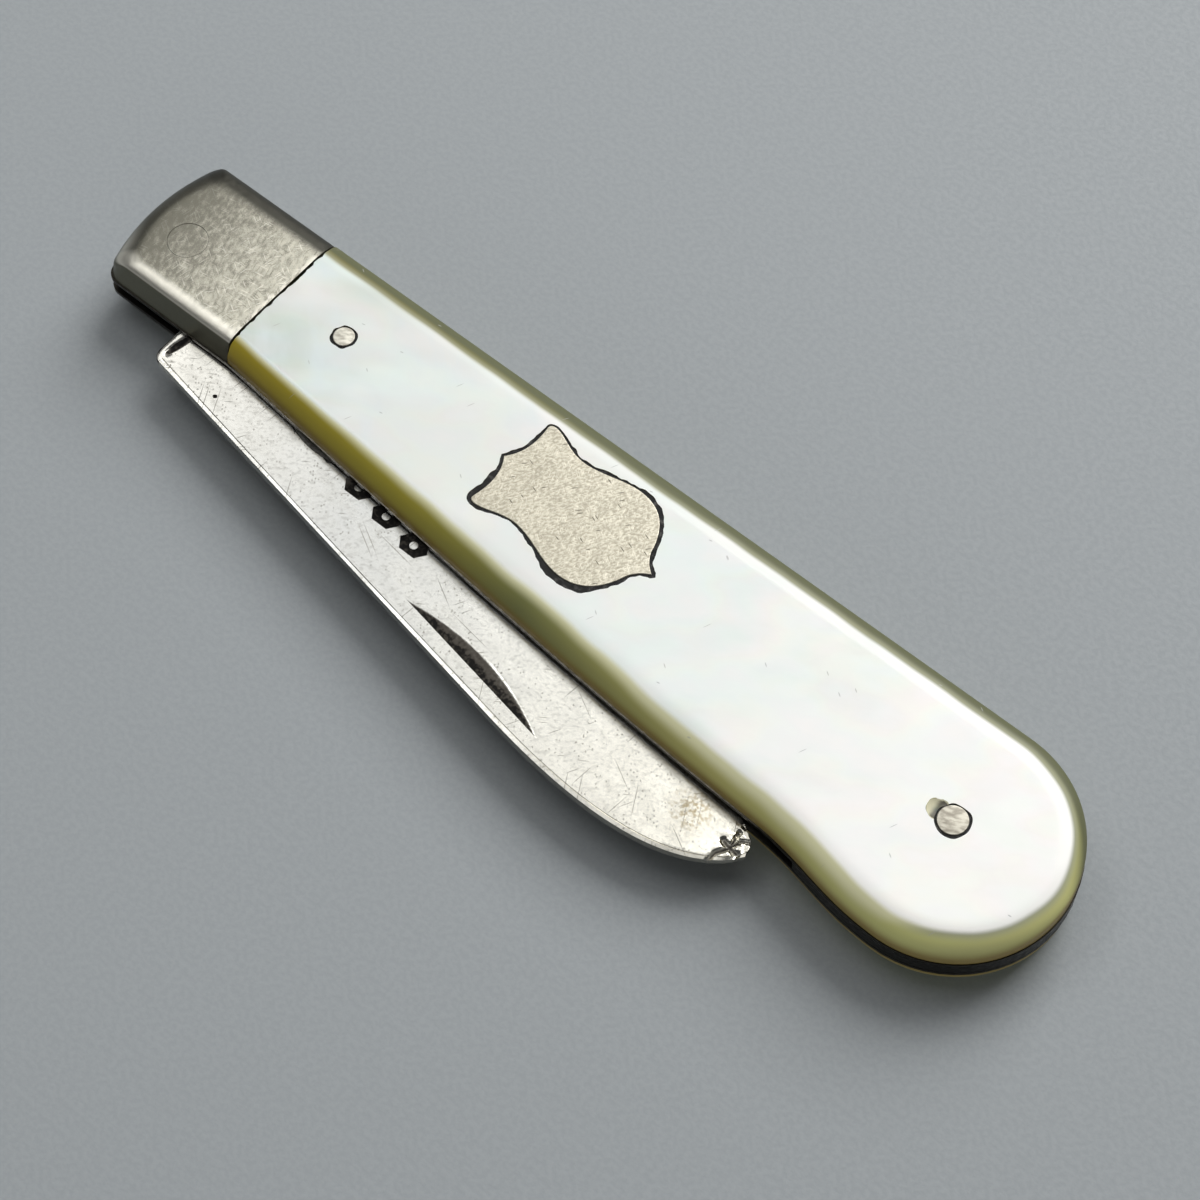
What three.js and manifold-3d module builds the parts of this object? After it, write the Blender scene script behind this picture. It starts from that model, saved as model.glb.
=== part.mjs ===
// Folding fruit knife: silver blade and bolsters, mother-of-pearl scales, slip-joint backspring.
// Millimetres, +Z up. The knife lies closed on its lower scale.
// +X runs from the pivot to the round butt, +Y to the back, and the blade slot opens to -Y.
import * as THREE from 'three';
import { mergeVertices } from 'three/addons/utils/BufferGeometryUtils.js';
import Module from 'manifold-3d';

// Handle in plan, measured from the pivot axis
const CLOSED_LENGTH = 81.6;
const END_REACH = 4.4;
const END_BULGE = 0.95;
const END_SHOULDER = 0.7;
const END_CORNER = 1.0;
const BACK_REACH = 6.6;
const BOLSTER_WIDTH = 11.5;
const BOLSTER_LENGTH = 12.5;
const BUTT_RADIUS = 8.45;
const WAIST_FROM_BUTT = 19.2;
const WAIST_WIDTH = 15.55;
const SIDE_BELLY = 0.7;
const FRONT_BELLY = 0.28;
const BUTT_SWELL = 4.5;

// Layers of the handle
const COVER_THICKNESS = 2.1;
const LINER_THICKNESS = 0.3;
const LINER_REVEAL = 0.1;
const SLOT_WIDTH = 1.0;
const SIDE_CLEARANCE = 0.05;
const EDGE_INSET = 1.5;
const EDGE_LAND = 0.25;
const SEAM_GAP = 0.1;

// Pins
const PIVOT_SHANK_DIAMETER = 2.2;
const PIVOT_HEAD_DIAMETER = 2.9;
const PIVOT_HEAD_DEPTH = 0.9;
const PIVOT_HEAD_LAND = 0.2;
const BUTT_PIN_DIAMETER = 2.1;
const BUTT_PIN_AHEAD = 0.4;
const BUTT_PIN_TO_BACK = 0.3;
const FRONT_PIN_DIAMETER = 1.55;
const FRONT_PIN_FROM_SEAM = 5.9;
const FRONT_PIN_FROM_BACK = 5.6;
const PIN_DOME = 0.12;
const PIN_SETBACK = 0.03;
const PIN_CLEARANCE = 0.05;
const SCALE_PIN_GAP = 0.12;

// Backspring
const TAIL_LENGTH = 15.4;
const TAIL_FILLET = 6.5;
const NOSE_SETBACK = 0.25;
const NOSE_LENGTH = 7.5;
const SPRING_DEPTH = 2.9;
const SPRING_PIN_DIAMETER = 1.1;
const SPRING_PIN_FROM_TAIL = 25.8;
const FLEX_ROOM = 0.35;

// Blade
const TIP_ROOM = 2.6;
const TANG_RADIUS = 3.2;
const TANG_FLAT = 0.12;
const TANG_CLEARANCE = 0.15;
const OPEN_ANGLE = 170;
const SHOULDER_REACH = 3.4;
const BEAD_WIDTH = 0.85;
const GROOVE_WIDTH = 0.35;
const GROOVE_DEPTH = 0.14;
const SPINE_REACH = 7.6;
const SPINE_ANGLE = 9.8;
const POINT_LENGTH = 19.2;
const POINT_DROP = 2.95;
const POINT_LEAD = 8.1;
const POINT_TRAIL = 3.3;
const POINT_SAG = 1.53;
const TIP_WIDTH = 1.1;
const TIP_SLANT = 0.45;
const EDGE_TURN = 4.6;
const CHOIL_REACH = 1.7;
const TANG_CREST = 2.4;
const BLADE_WIDTH = 9.7;
const EDGE_THICKNESS = 0.2;
const SPINE_CHAMFER = 0.14;
const SPINE_BAND = 0.45;
const BAND_LIMIT = 0.3;
const TIP_THICKNESS = 0.55;

// Nail nick and the blank punches on the blade's upper face
const NICK_FROM_TIP = 22.4;
const NICK_LENGTH = 13.1;
const NICK_FROM_SPINE = 1.35;
const NICK_BREADTH = 1.25;
const NICK_DEPTH = 0.25;
const PUNCH_FROM_SHOULDER = 18.4;
const PUNCH_PITCH = 2.95;
const PUNCH_COUNT = 3;
const PUNCH_FROM_SPINE = 4.7;
const PUNCH_LENGTH = 2.2;
const PUNCH_FLAT = 1.2;
const PUNCH_BREADTH = 1.3;
const PUNCH_DEPTH = 0.1;
const PELLET_DIAMETER = 0.6;

// Shield let into the upper scale
const SHIELD_FROM_SEAM = 20.75;
const SHIELD_FROM_BACK = 5.85;
const SHIELD_TURN = -3.15;
const SHIELD_LENGTH = 13.6;
const SHIELD_EAR_WIDTH = 8.1;
const SHIELD_WAIST_WIDTH = 6.6;
const SHIELD_BELLY_WIDTH = 8.5;
const SHIELD_EAR_DROP = 0.65;
const SHIELD_SCALLOP = 1.1;
const SHIELD_EASE = 0.35;
const SHIELD_FULLNESS = 0.75;
const SHIELD_WAIST_AT = 4.2;
const SHIELD_BELLY_AT = 8.9;
const SHIELD_CUSP_LENGTH = 1.2;
const SHIELD_CUSP_WIDTH = 2.5;
const SHIELD_THICKNESS = 0.5;
const SHIELD_GAP = 0.15;
const SHIELD_PIN_DIAMETER = 0.8;
const SHIELD_PIN_FRONT = 3.6;
const SHIELD_PIN_REAR = 10.2;

// Facet counts
const ROUND_SIDES = 40;
const CURVE_STEPS = 14;
const EDGE_STEPS = 5;
const BLADE_STEPS = 20;
const SHIELD_STEPS = 7;
const NICK_SIDES = 288;

// Places that follow from the sizes
const BUTT_END = CLOSED_LENGTH - END_REACH;
const BUTT_X = BUTT_END - BUTT_RADIUS;
const BUTT_Y = BACK_REACH - BUTT_RADIUS;
const SLOT_SIDE = BACK_REACH - BOLSTER_WIDTH;
const SEAM_X = BOLSTER_LENGTH - END_REACH;
const WAIST_X = BUTT_END - WAIST_FROM_BUTT;
const WAIST_Y = BACK_REACH - WAIST_WIDTH;
const LOWER_LINER_Z = COVER_THICKNESS;
const SLOT_Z = LOWER_LINER_Z + LINER_THICKNESS;
const UPPER_LINER_Z = SLOT_Z + SLOT_WIDTH;
const UPPER_COVER_Z = UPPER_LINER_Z + LINER_THICKNESS;
const TOP_Z = UPPER_COVER_Z + COVER_THICKNESS;
const MID_Z = TOP_Z / 2;
const SLOT_FILL = SLOT_WIDTH - 2 * SIDE_CLEARANCE;
const TAIL_X = BUTT_END - TAIL_LENGTH;
const TIP_X = TAIL_X - TIP_ROOM;
const SPRING_PIN_X = TAIL_X - SPRING_PIN_FROM_TAIL;
const SPRING_PIN_Y = BACK_REACH - SPRING_DEPTH / 2;
const BUTT_PIN_X = BUTT_X - BUTT_PIN_AHEAD;
const BUTT_PIN_Y = BUTT_Y + BUTT_PIN_TO_BACK;
const FRONT_PIN_X = SEAM_X + FRONT_PIN_FROM_SEAM;
const FRONT_PIN_Y = BACK_REACH - FRONT_PIN_FROM_BACK;
const FAR = 4 * CLOSED_LENGTH;

const wasm = await Module();
wasm.setup();

// Closed triangle mesh as a solid, turned right side out if its faces point in
function toSolid(geometry) {
  const bare = geometry.clone();
  bare.deleteAttribute('normal');
  bare.deleteAttribute('uv');
  const merged = mergeVertices(bare, 1e-4);
  const place = merged.getAttribute('position');
  const index = Array.from(merged.getIndex().array);
  const corner = (k) => new THREE.Vector3().fromBufferAttribute(place, k);
  const triangles = [];
  let volume = 0;
  for (let k = 0; k < index.length; k += 3) {
    const [a, b, c] = index.slice(k, k + 3);
    if (a === b || b === c || c === a) continue;
    triangles.push(a, b, c);
    volume += corner(a).dot(corner(b).cross(corner(c)));
  }
  if (volume < 0) triangles.reverse();
  const vertProperties = new Float32Array(place.array);
  const triVerts = new Uint32Array(triangles);
  return new wasm.Manifold(new wasm.Mesh({ numProp: 3, vertProperties, triVerts }));
}

function toGeometry(solid) {
  const mesh = solid.getMesh();
  const geometry = new THREE.BufferGeometry();
  geometry.setAttribute('position', new THREE.BufferAttribute(new Float32Array(mesh.vertProperties), 3));
  geometry.setIndex(new THREE.BufferAttribute(new Uint32Array(mesh.triVerts), 1));
  geometry.computeVertexNormals();
  return geometry;
}

function plate(shape, bottom, top) {
  const options = { depth: top - bottom, bevelEnabled: false, curveSegments: CURVE_STEPS };
  const geometry = new THREE.ExtrudeGeometry(shape, options);
  geometry.translate(0, 0, bottom);
  return toSolid(geometry);
}

function block(low, high, turn = 0) {
  const size = high.map((value, k) => value - low[k]);
  const geometry = new THREE.BoxGeometry(...size);
  geometry.translate(...low.map((value, k) => value + size[k] / 2));
  geometry.rotateZ(THREE.MathUtils.degToRad(turn));
  return toSolid(geometry);
}

// Turned piece from [radius, height] pairs that start and end on the axis
function turned(profile, x, y) {
  const points = profile.map(([radius, height]) => new THREE.Vector2(radius, height));
  const geometry = new THREE.LatheGeometry(points, ROUND_SIDES);
  geometry.rotateX(Math.PI / 2);
  geometry.translate(x, y, 0);
  return toSolid(geometry);
}

function rod(radius, bottom, top, x, y) {
  return turned([[0, bottom], [radius, bottom], [radius, top], [0, top]], x, y);
}

function polygon(points) {
  return new THREE.Shape(points.map(([x, y]) => new THREE.Vector2(x, y)));
}

// Outline of the handle, grown outwards by a margin
function handleOutline(margin) {
  const back = BACK_REACH + margin;
  const slot = SLOT_SIDE - margin;
  const furthest = -END_REACH - margin;
  const corner = furthest + END_BULGE;
  const shoulder = furthest + END_SHOULDER;
  const middle = (back + slot) / 2;
  const waist = WAIST_Y - margin;
  const lowest = BUTT_Y - BUTT_RADIUS - margin;
  const taper = (waist - slot) / (WAIST_X - SEAM_X);
  const run = (WAIST_X - SEAM_X) / 3;
  const leaving = taper + SIDE_BELLY / run;
  const shape = new THREE.Shape();
  shape.moveTo(BUTT_X, back);
  shape.lineTo(corner + END_CORNER, back);
  shape.quadraticCurveTo(corner, back, shoulder, back - END_CORNER);
  shape.quadraticCurveTo(2 * furthest - shoulder, middle, shoulder, slot + END_CORNER);
  shape.quadraticCurveTo(corner, slot, corner + END_CORNER, slot);
  shape.lineTo(SEAM_X, slot);
  shape.bezierCurveTo(
    SEAM_X + run, slot + taper * run - FRONT_BELLY,
    WAIST_X - run, waist - leaving * run,
    WAIST_X, waist,
  );
  shape.bezierCurveTo(
    WAIST_X + BUTT_SWELL, waist + leaving * BUTT_SWELL,
    BUTT_X - BUTT_SWELL, lowest,
    BUTT_X, lowest,
  );
  shape.absarc(BUTT_X, BUTT_Y, BUTT_RADIUS + margin, -Math.PI / 2, Math.PI / 2, false);
  return shape;
}

// Closed skin through rings of equally many points, with the given triangles over both end rings
function loft(rings, cap) {
  const sides = rings[0].length;
  const last = (rings.length - 1) * sides;
  const index = [];
  for (let start = 0; start < last; start += sides) {
    for (let j = 0; j < sides; j += 1) {
      const a = start + j;
      const b = start + ((j + 1) % sides);
      index.push(a, b, b + sides, a, b + sides, a + sides);
    }
  }
  for (const [a, b, c] of cap) {
    index.push(c, b, a, last + a, last + b, last + c);
  }
  const geometry = new THREE.BufferGeometry();
  geometry.setAttribute('position', new THREE.Float32BufferAttribute(rings.flat(2), 3));
  geometry.setIndex(index);
  return toSolid(geometry);
}

// One side's cover, bolster and scale in one, with its outer edge rounded over
function coverBlank(upper) {
  const seat = upper ? UPPER_COVER_Z : COVER_THICKNESS;
  const away = upper ? 1 : -1;
  const ringAt = (inset, rise) => {
    const points = handleOutline(-inset).getPoints(CURVE_STEPS).slice(0, -1);
    return points.map((point) => [point.x, point.y, seat + away * rise]);
  };
  const rings = [ringAt(0, 0)];
  for (let k = 0; k <= EDGE_STEPS; k += 1) {
    const turn = (k / EDGE_STEPS) * (Math.PI / 2);
    const inset = EDGE_INSET * (1 - Math.cos(turn));
    rings.push(ringAt(inset, EDGE_LAND + (COVER_THICKNESS - EDGE_LAND) * Math.sin(turn)));
  }
  const outline = rings[0].map(([x, y]) => new THREE.Vector2(x, y));
  return loft(rings, THREE.ShapeUtils.triangulateShape(outline, []));
}

const bolsterSide = block([-FAR, -FAR, -FAR], [SEAM_X - SEAM_GAP / 2, FAR, FAR]);
const scaleSide = block([SEAM_X + SEAM_GAP / 2, -FAR, -FAR], [FAR, FAR, FAR]);

// Pivot pin, spun into a countersink at both ends
function pivotProfile(gap, setback) {
  const shank = PIVOT_SHANK_DIAMETER / 2 + gap;
  const head = PIVOT_HEAD_DIAMETER / 2 + gap;
  const ends = [setback, TOP_Z - setback];
  return [
    [0, ends[0]],
    [head, ends[0]],
    [head, PIVOT_HEAD_LAND],
    [shank, PIVOT_HEAD_DEPTH],
    [shank, TOP_Z - PIVOT_HEAD_DEPTH],
    [head, TOP_Z - PIVOT_HEAD_LAND],
    [head, ends[1]],
    [0, ends[1]],
  ];
}

// Pin with a low dome on top
function domed(radius, bottom, top, x, y) {
  const profile = [[0, bottom], [radius, bottom]];
  for (let k = 0; k < EDGE_STEPS; k += 1) {
    const turn = (k / EDGE_STEPS) * (Math.PI / 2);
    profile.push([radius * Math.cos(turn), top + PIN_DOME * Math.sin(turn)]);
  }
  profile.push([0, top + PIN_DOME]);
  return turned(profile, x, y);
}

const pivotHole = turned(pivotProfile(PIN_CLEARANCE, -COVER_THICKNESS), 0, 0);
const buttRadius = BUTT_PIN_DIAMETER / 2;
const frontRadius = FRONT_PIN_DIAMETER / 2;
const springPinRadius = SPRING_PIN_DIAMETER / 2;
const shieldPinRadius = SHIELD_PIN_DIAMETER / 2;
const buttScaleHole = rod(buttRadius + SCALE_PIN_GAP, -FAR, FAR, BUTT_PIN_X, BUTT_PIN_Y);
const buttLinerHole = rod(buttRadius + PIN_CLEARANCE, -FAR, FAR, BUTT_PIN_X, BUTT_PIN_Y);
const frontScaleHole = rod(frontRadius + SCALE_PIN_GAP, -FAR, FAR, FRONT_PIN_X, FRONT_PIN_Y);
const frontLinerHole = rod(frontRadius + PIN_CLEARANCE, -FAR, FAR, FRONT_PIN_X, FRONT_PIN_Y);
const springPinHole = rod(springPinRadius + PIN_CLEARANCE, -FAR, FAR, SPRING_PIN_X, SPRING_PIN_Y);

// Shield outline: two scallops meeting at a point, a waist, a belly and a tip towards the butt
const shieldTurn = THREE.MathUtils.degToRad(SHIELD_TURN);
function onShield(along, across) {
  const x = along * Math.cos(shieldTurn) - across * Math.sin(shieldTurn);
  const y = along * Math.sin(shieldTurn) + across * Math.cos(shieldTurn);
  return [SEAM_X + SHIELD_FROM_SEAM + x, BACK_REACH - SHIELD_FROM_BACK + y];
}

function shieldHalf() {
  const ear = SHIELD_EAR_WIDTH / 2;
  const waist = SHIELD_WAIST_WIDTH / 2;
  const belly = SHIELD_BELLY_WIDTH / 2;
  const cusp = SHIELD_CUSP_WIDTH / 2;
  const cuspAt = SHIELD_LENGTH - SHIELD_CUSP_LENGTH;
  const fullest = SHIELD_BELLY_AT + (cuspAt - SHIELD_BELLY_AT) * SHIELD_FULLNESS;
  const place = ([along, across]) => new THREE.Vector2(along, across);
  const bend = (...points) => new THREE.QuadraticBezierCurve(...points.map(place));
  const ease = ([from, low], [to, high]) => {
    const reach = (to - from) * SHIELD_EASE;
    return new THREE.CubicBezierCurve(...[[from, low], [from + reach, low], [to - reach, high], [to, high]].map(place));
  };
  const half = new THREE.CurvePath();
  half.add(bend([0, 0], [SHIELD_SCALLOP, ear / 3], [SHIELD_EAR_DROP, ear]));
  half.add(ease([SHIELD_EAR_DROP, ear], [SHIELD_WAIST_AT, waist]));
  half.add(ease([SHIELD_WAIST_AT, waist], [SHIELD_BELLY_AT, belly]));
  half.add(bend([SHIELD_BELLY_AT, belly], [fullest, belly], [cuspAt, cusp]));
  half.add(bend([cuspAt, cusp], [cuspAt + SHIELD_CUSP_LENGTH / 3, cusp / 3], [SHIELD_LENGTH, 0]));
  return half.getPoints(SHIELD_STEPS);
}

// Both halves of the shield, grown outwards by a margin
function shieldOutline(margin) {
  const half = shieldHalf();
  const mirrored = half.slice(1, -1).reverse().map((point) => new THREE.Vector2(point.x, -point.y));
  const ring = [...half, ...mirrored];
  const grown = ring.map((point, k) => {
    const before = ring[(k + ring.length - 1) % ring.length];
    const after = ring[(k + 1) % ring.length];
    const along = after.clone().sub(before).normalize();
    return onShield(point.x - along.y * margin, point.y + along.x * margin);
  });
  return polygon(grown);
}

const SHIELD_Z = TOP_Z - SHIELD_THICKNESS;
const shieldPocket = plate(shieldOutline(SHIELD_GAP), SHIELD_Z, FAR);
const shieldPlate = plate(shieldOutline(0), SHIELD_Z, TOP_Z);
const shieldPinPlaces = [onShield(SHIELD_PIN_FRONT, 0), onShield(SHIELD_PIN_REAR, 0)];
const shieldPinHoles = shieldPinPlaces.map(([x, y]) => rod(shieldPinRadius + PIN_CLEARANCE, -FAR, FAR, x, y));
const shieldPins = shieldPinPlaces.map(([x, y]) => rod(shieldPinRadius, UPPER_LINER_Z + PIN_SETBACK, SHIELD_Z, x, y));

const upperBlank = coverBlank(true);
const lowerBlank = coverBlank(false);
const upperBolster = upperBlank.intersect(bolsterSide).subtract(pivotHole);
const lowerBolster = lowerBlank.intersect(bolsterSide).subtract(pivotHole);
const upperScale = upperBlank.intersect(scaleSide).subtract(buttScaleHole).subtract(frontScaleHole)
  .subtract(shieldPocket).subtract(shieldPinHoles[0]).subtract(shieldPinHoles[1]);
const lowerScale = lowerBlank.intersect(scaleSide).subtract(buttScaleHole).subtract(frontScaleHole);

// Liners
function liner(bottom) {
  return plate(handleOutline(LINER_REVEAL), bottom, bottom + LINER_THICKNESS)
    .subtract(pivotHole).subtract(buttLinerHole).subtract(frontLinerHole).subtract(springPinHole);
}
const upperLiner = liner(UPPER_LINER_Z).subtract(shieldPinHoles[0]).subtract(shieldPinHoles[1]);
const lowerLiner = liner(LOWER_LINER_Z);

// Backspring: a nose over the tang, a slim run along the back and a tail that fills the butt
function springRegion() {
  const nose = TANG_RADIUS + TANG_CLEARANCE;
  const inner = BACK_REACH - SPRING_DEPTH;
  const noseEnd = -END_REACH + END_BULGE + NOSE_SETBACK;
  const noseBack = noseEnd + NOSE_LENGTH;
  const shape = new THREE.Shape();
  shape.moveTo(noseEnd, FAR);
  shape.lineTo(noseEnd, nose);
  shape.lineTo(noseBack, nose);
  shape.lineTo(noseBack + SPRING_DEPTH, inner);
  shape.lineTo(TAIL_X - TAIL_FILLET, inner);
  shape.quadraticCurveTo(TAIL_X, inner, TAIL_X, inner - TAIL_FILLET);
  shape.lineTo(TAIL_X, -FAR);
  shape.lineTo(FAR, -FAR);
  shape.lineTo(FAR, FAR);
  return shape;
}
const springBottom = SLOT_Z + SIDE_CLEARANCE;
const springTop = UPPER_LINER_Z - SIDE_CLEARANCE;
const buttSpringHole = rod(buttRadius + FLEX_ROOM, -FAR, FAR, BUTT_PIN_X, BUTT_PIN_Y);
const backspring = plate(handleOutline(LINER_REVEAL), springBottom, springTop)
  .intersect(plate(springRegion(), springBottom, springTop))
  .subtract(springPinHole)
  .subtract(buttSpringHole);

// Blade in plan: a straight spine that falls to a blunt tip, and an edge that rises to meet it
const spineSlope = Math.tan(THREE.MathUtils.degToRad(SPINE_ANGLE));
const pointX = TIP_X - POINT_LENGTH;
const spineY = (x) => -SPINE_REACH - spineSlope * (x - SHOULDER_REACH);
const groundX = SHOULDER_REACH + BEAD_WIDTH / 2;
const tipY = spineY(pointX) + POINT_DROP;
const vector = (x, y) => new THREE.Vector2(x, y);

const spineRun = new THREE.LineCurve(vector(groundX, spineY(groundX)), vector(pointX, spineY(pointX)));
const spinePoint = new THREE.CubicBezierCurve(
  vector(pointX, spineY(pointX)),
  vector(pointX + POINT_LEAD, spineY(pointX + POINT_LEAD)),
  vector(TIP_X - POINT_TRAIL, spineY(pointX) - POINT_SAG),
  vector(TIP_X, tipY),
);
const edgeY = (x) => spineY(x) + BLADE_WIDTH;
const choilX = groundX + BLADE_WIDTH / 2;
const turnX = TIP_X - EDGE_TURN;
const edgeRun = new THREE.QuadraticBezierCurve(
  vector(groundX, CHOIL_REACH),
  vector(choilX, edgeY(choilX)),
  vector(pointX, edgeY(pointX)),
);
const edgePoint = new THREE.QuadraticBezierCurve(
  vector(pointX, edgeY(pointX)),
  vector(turnX, edgeY(turnX)),
  vector(TIP_X - TIP_SLANT, tipY + TIP_WIDTH),
);

// Ground part of the blade: sections across it, full at the spine and thin at the edge
function groundBlade() {
  const half = SLOT_FILL / 2;
  const stations = [];
  for (let k = 0; k <= BLADE_STEPS; k += 1) {
    const t = k / BLADE_STEPS;
    stations.push([spineRun.getPoint(t), edgeRun.getPoint(t), 1]);
  }
  for (let k = 1; k <= BLADE_STEPS; k += 1) {
    const t = k / BLADE_STEPS;
    stations.push([spinePoint.getPoint(t), edgePoint.getPoint(t), 1 - t * t * (1 - TIP_THICKNESS)]);
  }
  const rows = stations.map(([spine, edge, thin]) => {
    const width = spine.distanceTo(edge);
    const band = Math.min(SPINE_BAND / width, BAND_LIMIT);
    const shoulder = spine.clone().lerp(edge, band);
    const rise = [(half - SPINE_CHAMFER) * thin, half * thin, EDGE_THICKNESS / 2];
    return [spine, shoulder, edge].map((point, j) => [point.x, point.y, rise[j]]);
  });
  const rings = rows.map((row) => [
    ...row.map(([x, y, z]) => [x, y, MID_Z + z]),
    ...row.map(([x, y, z]) => [x, y, MID_Z - z]).reverse(),
  ]);
  const fan = Array.from({ length: rings[0].length - 2 }, (_, j) => [0, j + 1, j + 2]);
  return loft(rings, fan);
}

// Tang: a round cam with a flat for the closed and one for the open blade, and the beaded shoulder
function tang() {
  const bottom = MID_Z - SLOT_FILL / 2;
  const top = MID_Z + SLOT_FILL / 2;
  const beadEnd = SHOULDER_REACH + BEAD_WIDTH;
  const flat = TANG_RADIUS - TANG_FLAT;
  const neck = polygon([
    [0, -flat],
    [SHOULDER_REACH, -flat],
    [SHOULDER_REACH, -SPINE_REACH],
    [beadEnd, spineY(beadEnd)],
    [beadEnd, CHOIL_REACH],
    [TANG_CREST, flat],
    [0, flat],
  ]);
  const opened = block([-FAR, flat, -FAR], [FAR, FAR, FAR], OPEN_ANGLE);
  const closed = block([-FAR, flat, -FAR], [FAR, FAR, FAR]);
  const cam = rod(TANG_RADIUS, bottom, top, 0, 0).subtract(closed).subtract(opened);
  return cam.add(plate(neck, bottom, top));
}

// Height of the ground face above the middle of the blade, at a distance in from the spine
function faceRise(inset, width) {
  const half = SLOT_FILL / 2;
  const share = (inset - SPINE_BAND) / (width - SPINE_BAND);
  return half + (EDGE_THICKNESS / 2 - half) * share;
}

// Nail nick: a straight steep wall towards the spine and a floor that rises to a curved far edge
function nailNick() {
  const radius = (NICK_LENGTH * NICK_LENGTH / 4 + NICK_DEPTH * NICK_DEPTH) / (2 * NICK_DEPTH);
  const face = MID_Z + faceRise(NICK_FROM_SPINE + NICK_BREADTH / 2, BLADE_WIDTH);
  const cutter = new THREE.CylinderGeometry(radius - 2 * NICK_DEPTH, radius, 2 * NICK_BREADTH, NICK_SIDES);
  cutter.translate(0, NICK_BREADTH, radius - NICK_DEPTH);
  const middle = TIP_X - NICK_FROM_TIP;
  cutter.rotateZ(-THREE.MathUtils.degToRad(SPINE_ANGLE));
  cutter.translate(middle, spineY(middle) + NICK_FROM_SPINE, face);
  return toSolid(cutter);
}

function punch(count) {
  const x = SHOULDER_REACH + PUNCH_FROM_SHOULDER + count * PUNCH_PITCH;
  const y = spineY(x) + PUNCH_FROM_SPINE;
  const long = PUNCH_LENGTH / 2;
  const side = PUNCH_FLAT / 2;
  const wide = PUNCH_BREADTH / 2;
  const floor = MID_Z + faceRise(PUNCH_FROM_SPINE, BLADE_WIDTH) - PUNCH_DEPTH;
  const hexagon = polygon([
    [x - long, y],
    [x - side, y - wide],
    [x + side, y - wide],
    [x + long, y],
    [x + side, y + wide],
    [x - side, y + wide],
  ]);
  return plate(hexagon, floor, FAR).subtract(rod(PELLET_DIAMETER / 2, -FAR, FAR, x, y));
}

const bladeBore = rod(PIVOT_SHANK_DIAMETER / 2 + PIN_CLEARANCE, -FAR, FAR, 0, 0);
const grooveStart = SHOULDER_REACH + BEAD_WIDTH;
const grooveFloor = SLOT_FILL / 2 - GROOVE_DEPTH;
const upperGroove = block([grooveStart, -FAR, MID_Z + grooveFloor], [grooveStart + GROOVE_WIDTH, FAR, FAR]);
const lowerGroove = block([grooveStart, -FAR, -FAR], [grooveStart + GROOVE_WIDTH, FAR, MID_Z - grooveFloor]);
let blade = groundBlade().add(tang()).subtract(bladeBore).subtract(upperGroove).subtract(lowerGroove)
  .subtract(nailNick());
for (let count = 0; count < PUNCH_COUNT; count += 1) {
  blade = blade.subtract(punch(count));
}

// Finishes
const silver = { color: 0xc9c6bf, roughness: 0.34, metalness: 1.0 };
const wornSilver = { color: 0xa9a49a, roughness: 0.46, metalness: 1.0 };
const nickel = { color: 0x8f8b82, roughness: 0.42, metalness: 1.0 };
const steel = { color: 0x6f6c68, roughness: 0.45, metalness: 1.0 };
const pearl = { color: 0xe4e8e2, roughness: 0.16, metalness: 0.0 };

const knife = new THREE.Group();
function piece(name, solid, finish) {
  const mesh = new THREE.Mesh(toGeometry(solid), new THREE.MeshStandardMaterial(finish));
  mesh.name = name;
  knife.add(mesh);
}

const upperFrontPin = domed(frontRadius, UPPER_LINER_Z + PIN_SETBACK, TOP_Z, FRONT_PIN_X, FRONT_PIN_Y);
const lowerFrontPin = rod(frontRadius, PIN_SETBACK, SLOT_Z - PIN_SETBACK, FRONT_PIN_X, FRONT_PIN_Y);
const springPinBottom = LOWER_LINER_Z + PIN_SETBACK;
const springPinTop = UPPER_COVER_Z - PIN_SETBACK;

piece('upper_bolster', upperBolster, wornSilver);
piece('lower_bolster', lowerBolster, wornSilver);
piece('upper_scale', upperScale, pearl);
piece('lower_scale', lowerScale, pearl);
piece('upper_liner', upperLiner, nickel);
piece('lower_liner', lowerLiner, nickel);
piece('backspring', backspring, steel);
piece('blade', blade, silver);
piece('shield', shieldPlate, wornSilver);
piece('shield_pin_front', shieldPins[0], nickel);
piece('shield_pin_rear', shieldPins[1], nickel);
piece('pivot_pin', turned(pivotProfile(0, PIN_SETBACK), 0, 0), wornSilver);
piece('butt_pin', domed(buttRadius, PIN_SETBACK, TOP_Z, BUTT_PIN_X, BUTT_PIN_Y), silver);
piece('upper_front_pin', upperFrontPin, silver);
piece('lower_front_pin', lowerFrontPin, silver);
piece('spring_centre_pin', rod(springPinRadius, springPinBottom, springPinTop, SPRING_PIN_X, SPRING_PIN_Y), steel);

// The origin lies on the resting face, half way along the handle on the pivot's line
const object = new THREE.Group();
knife.position.x = END_REACH - CLOSED_LENGTH / 2;
object.add(knife);

export default object;
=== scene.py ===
"""Looks of a folding fruit knife.

The pearl scales, silver bolsters, shield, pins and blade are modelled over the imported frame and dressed
in procedural finishes, and the closed knife lies on a plain floor under soft studio light. Sizes are
millimetres in the row frame; meshes are made in metres.
"""

from __future__ import annotations

import logging
import math
from collections.abc import Callable, Iterator, Sequence
from dataclasses import dataclass
from enum import Enum

import bmesh
import bpy
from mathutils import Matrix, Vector, noise

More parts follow.
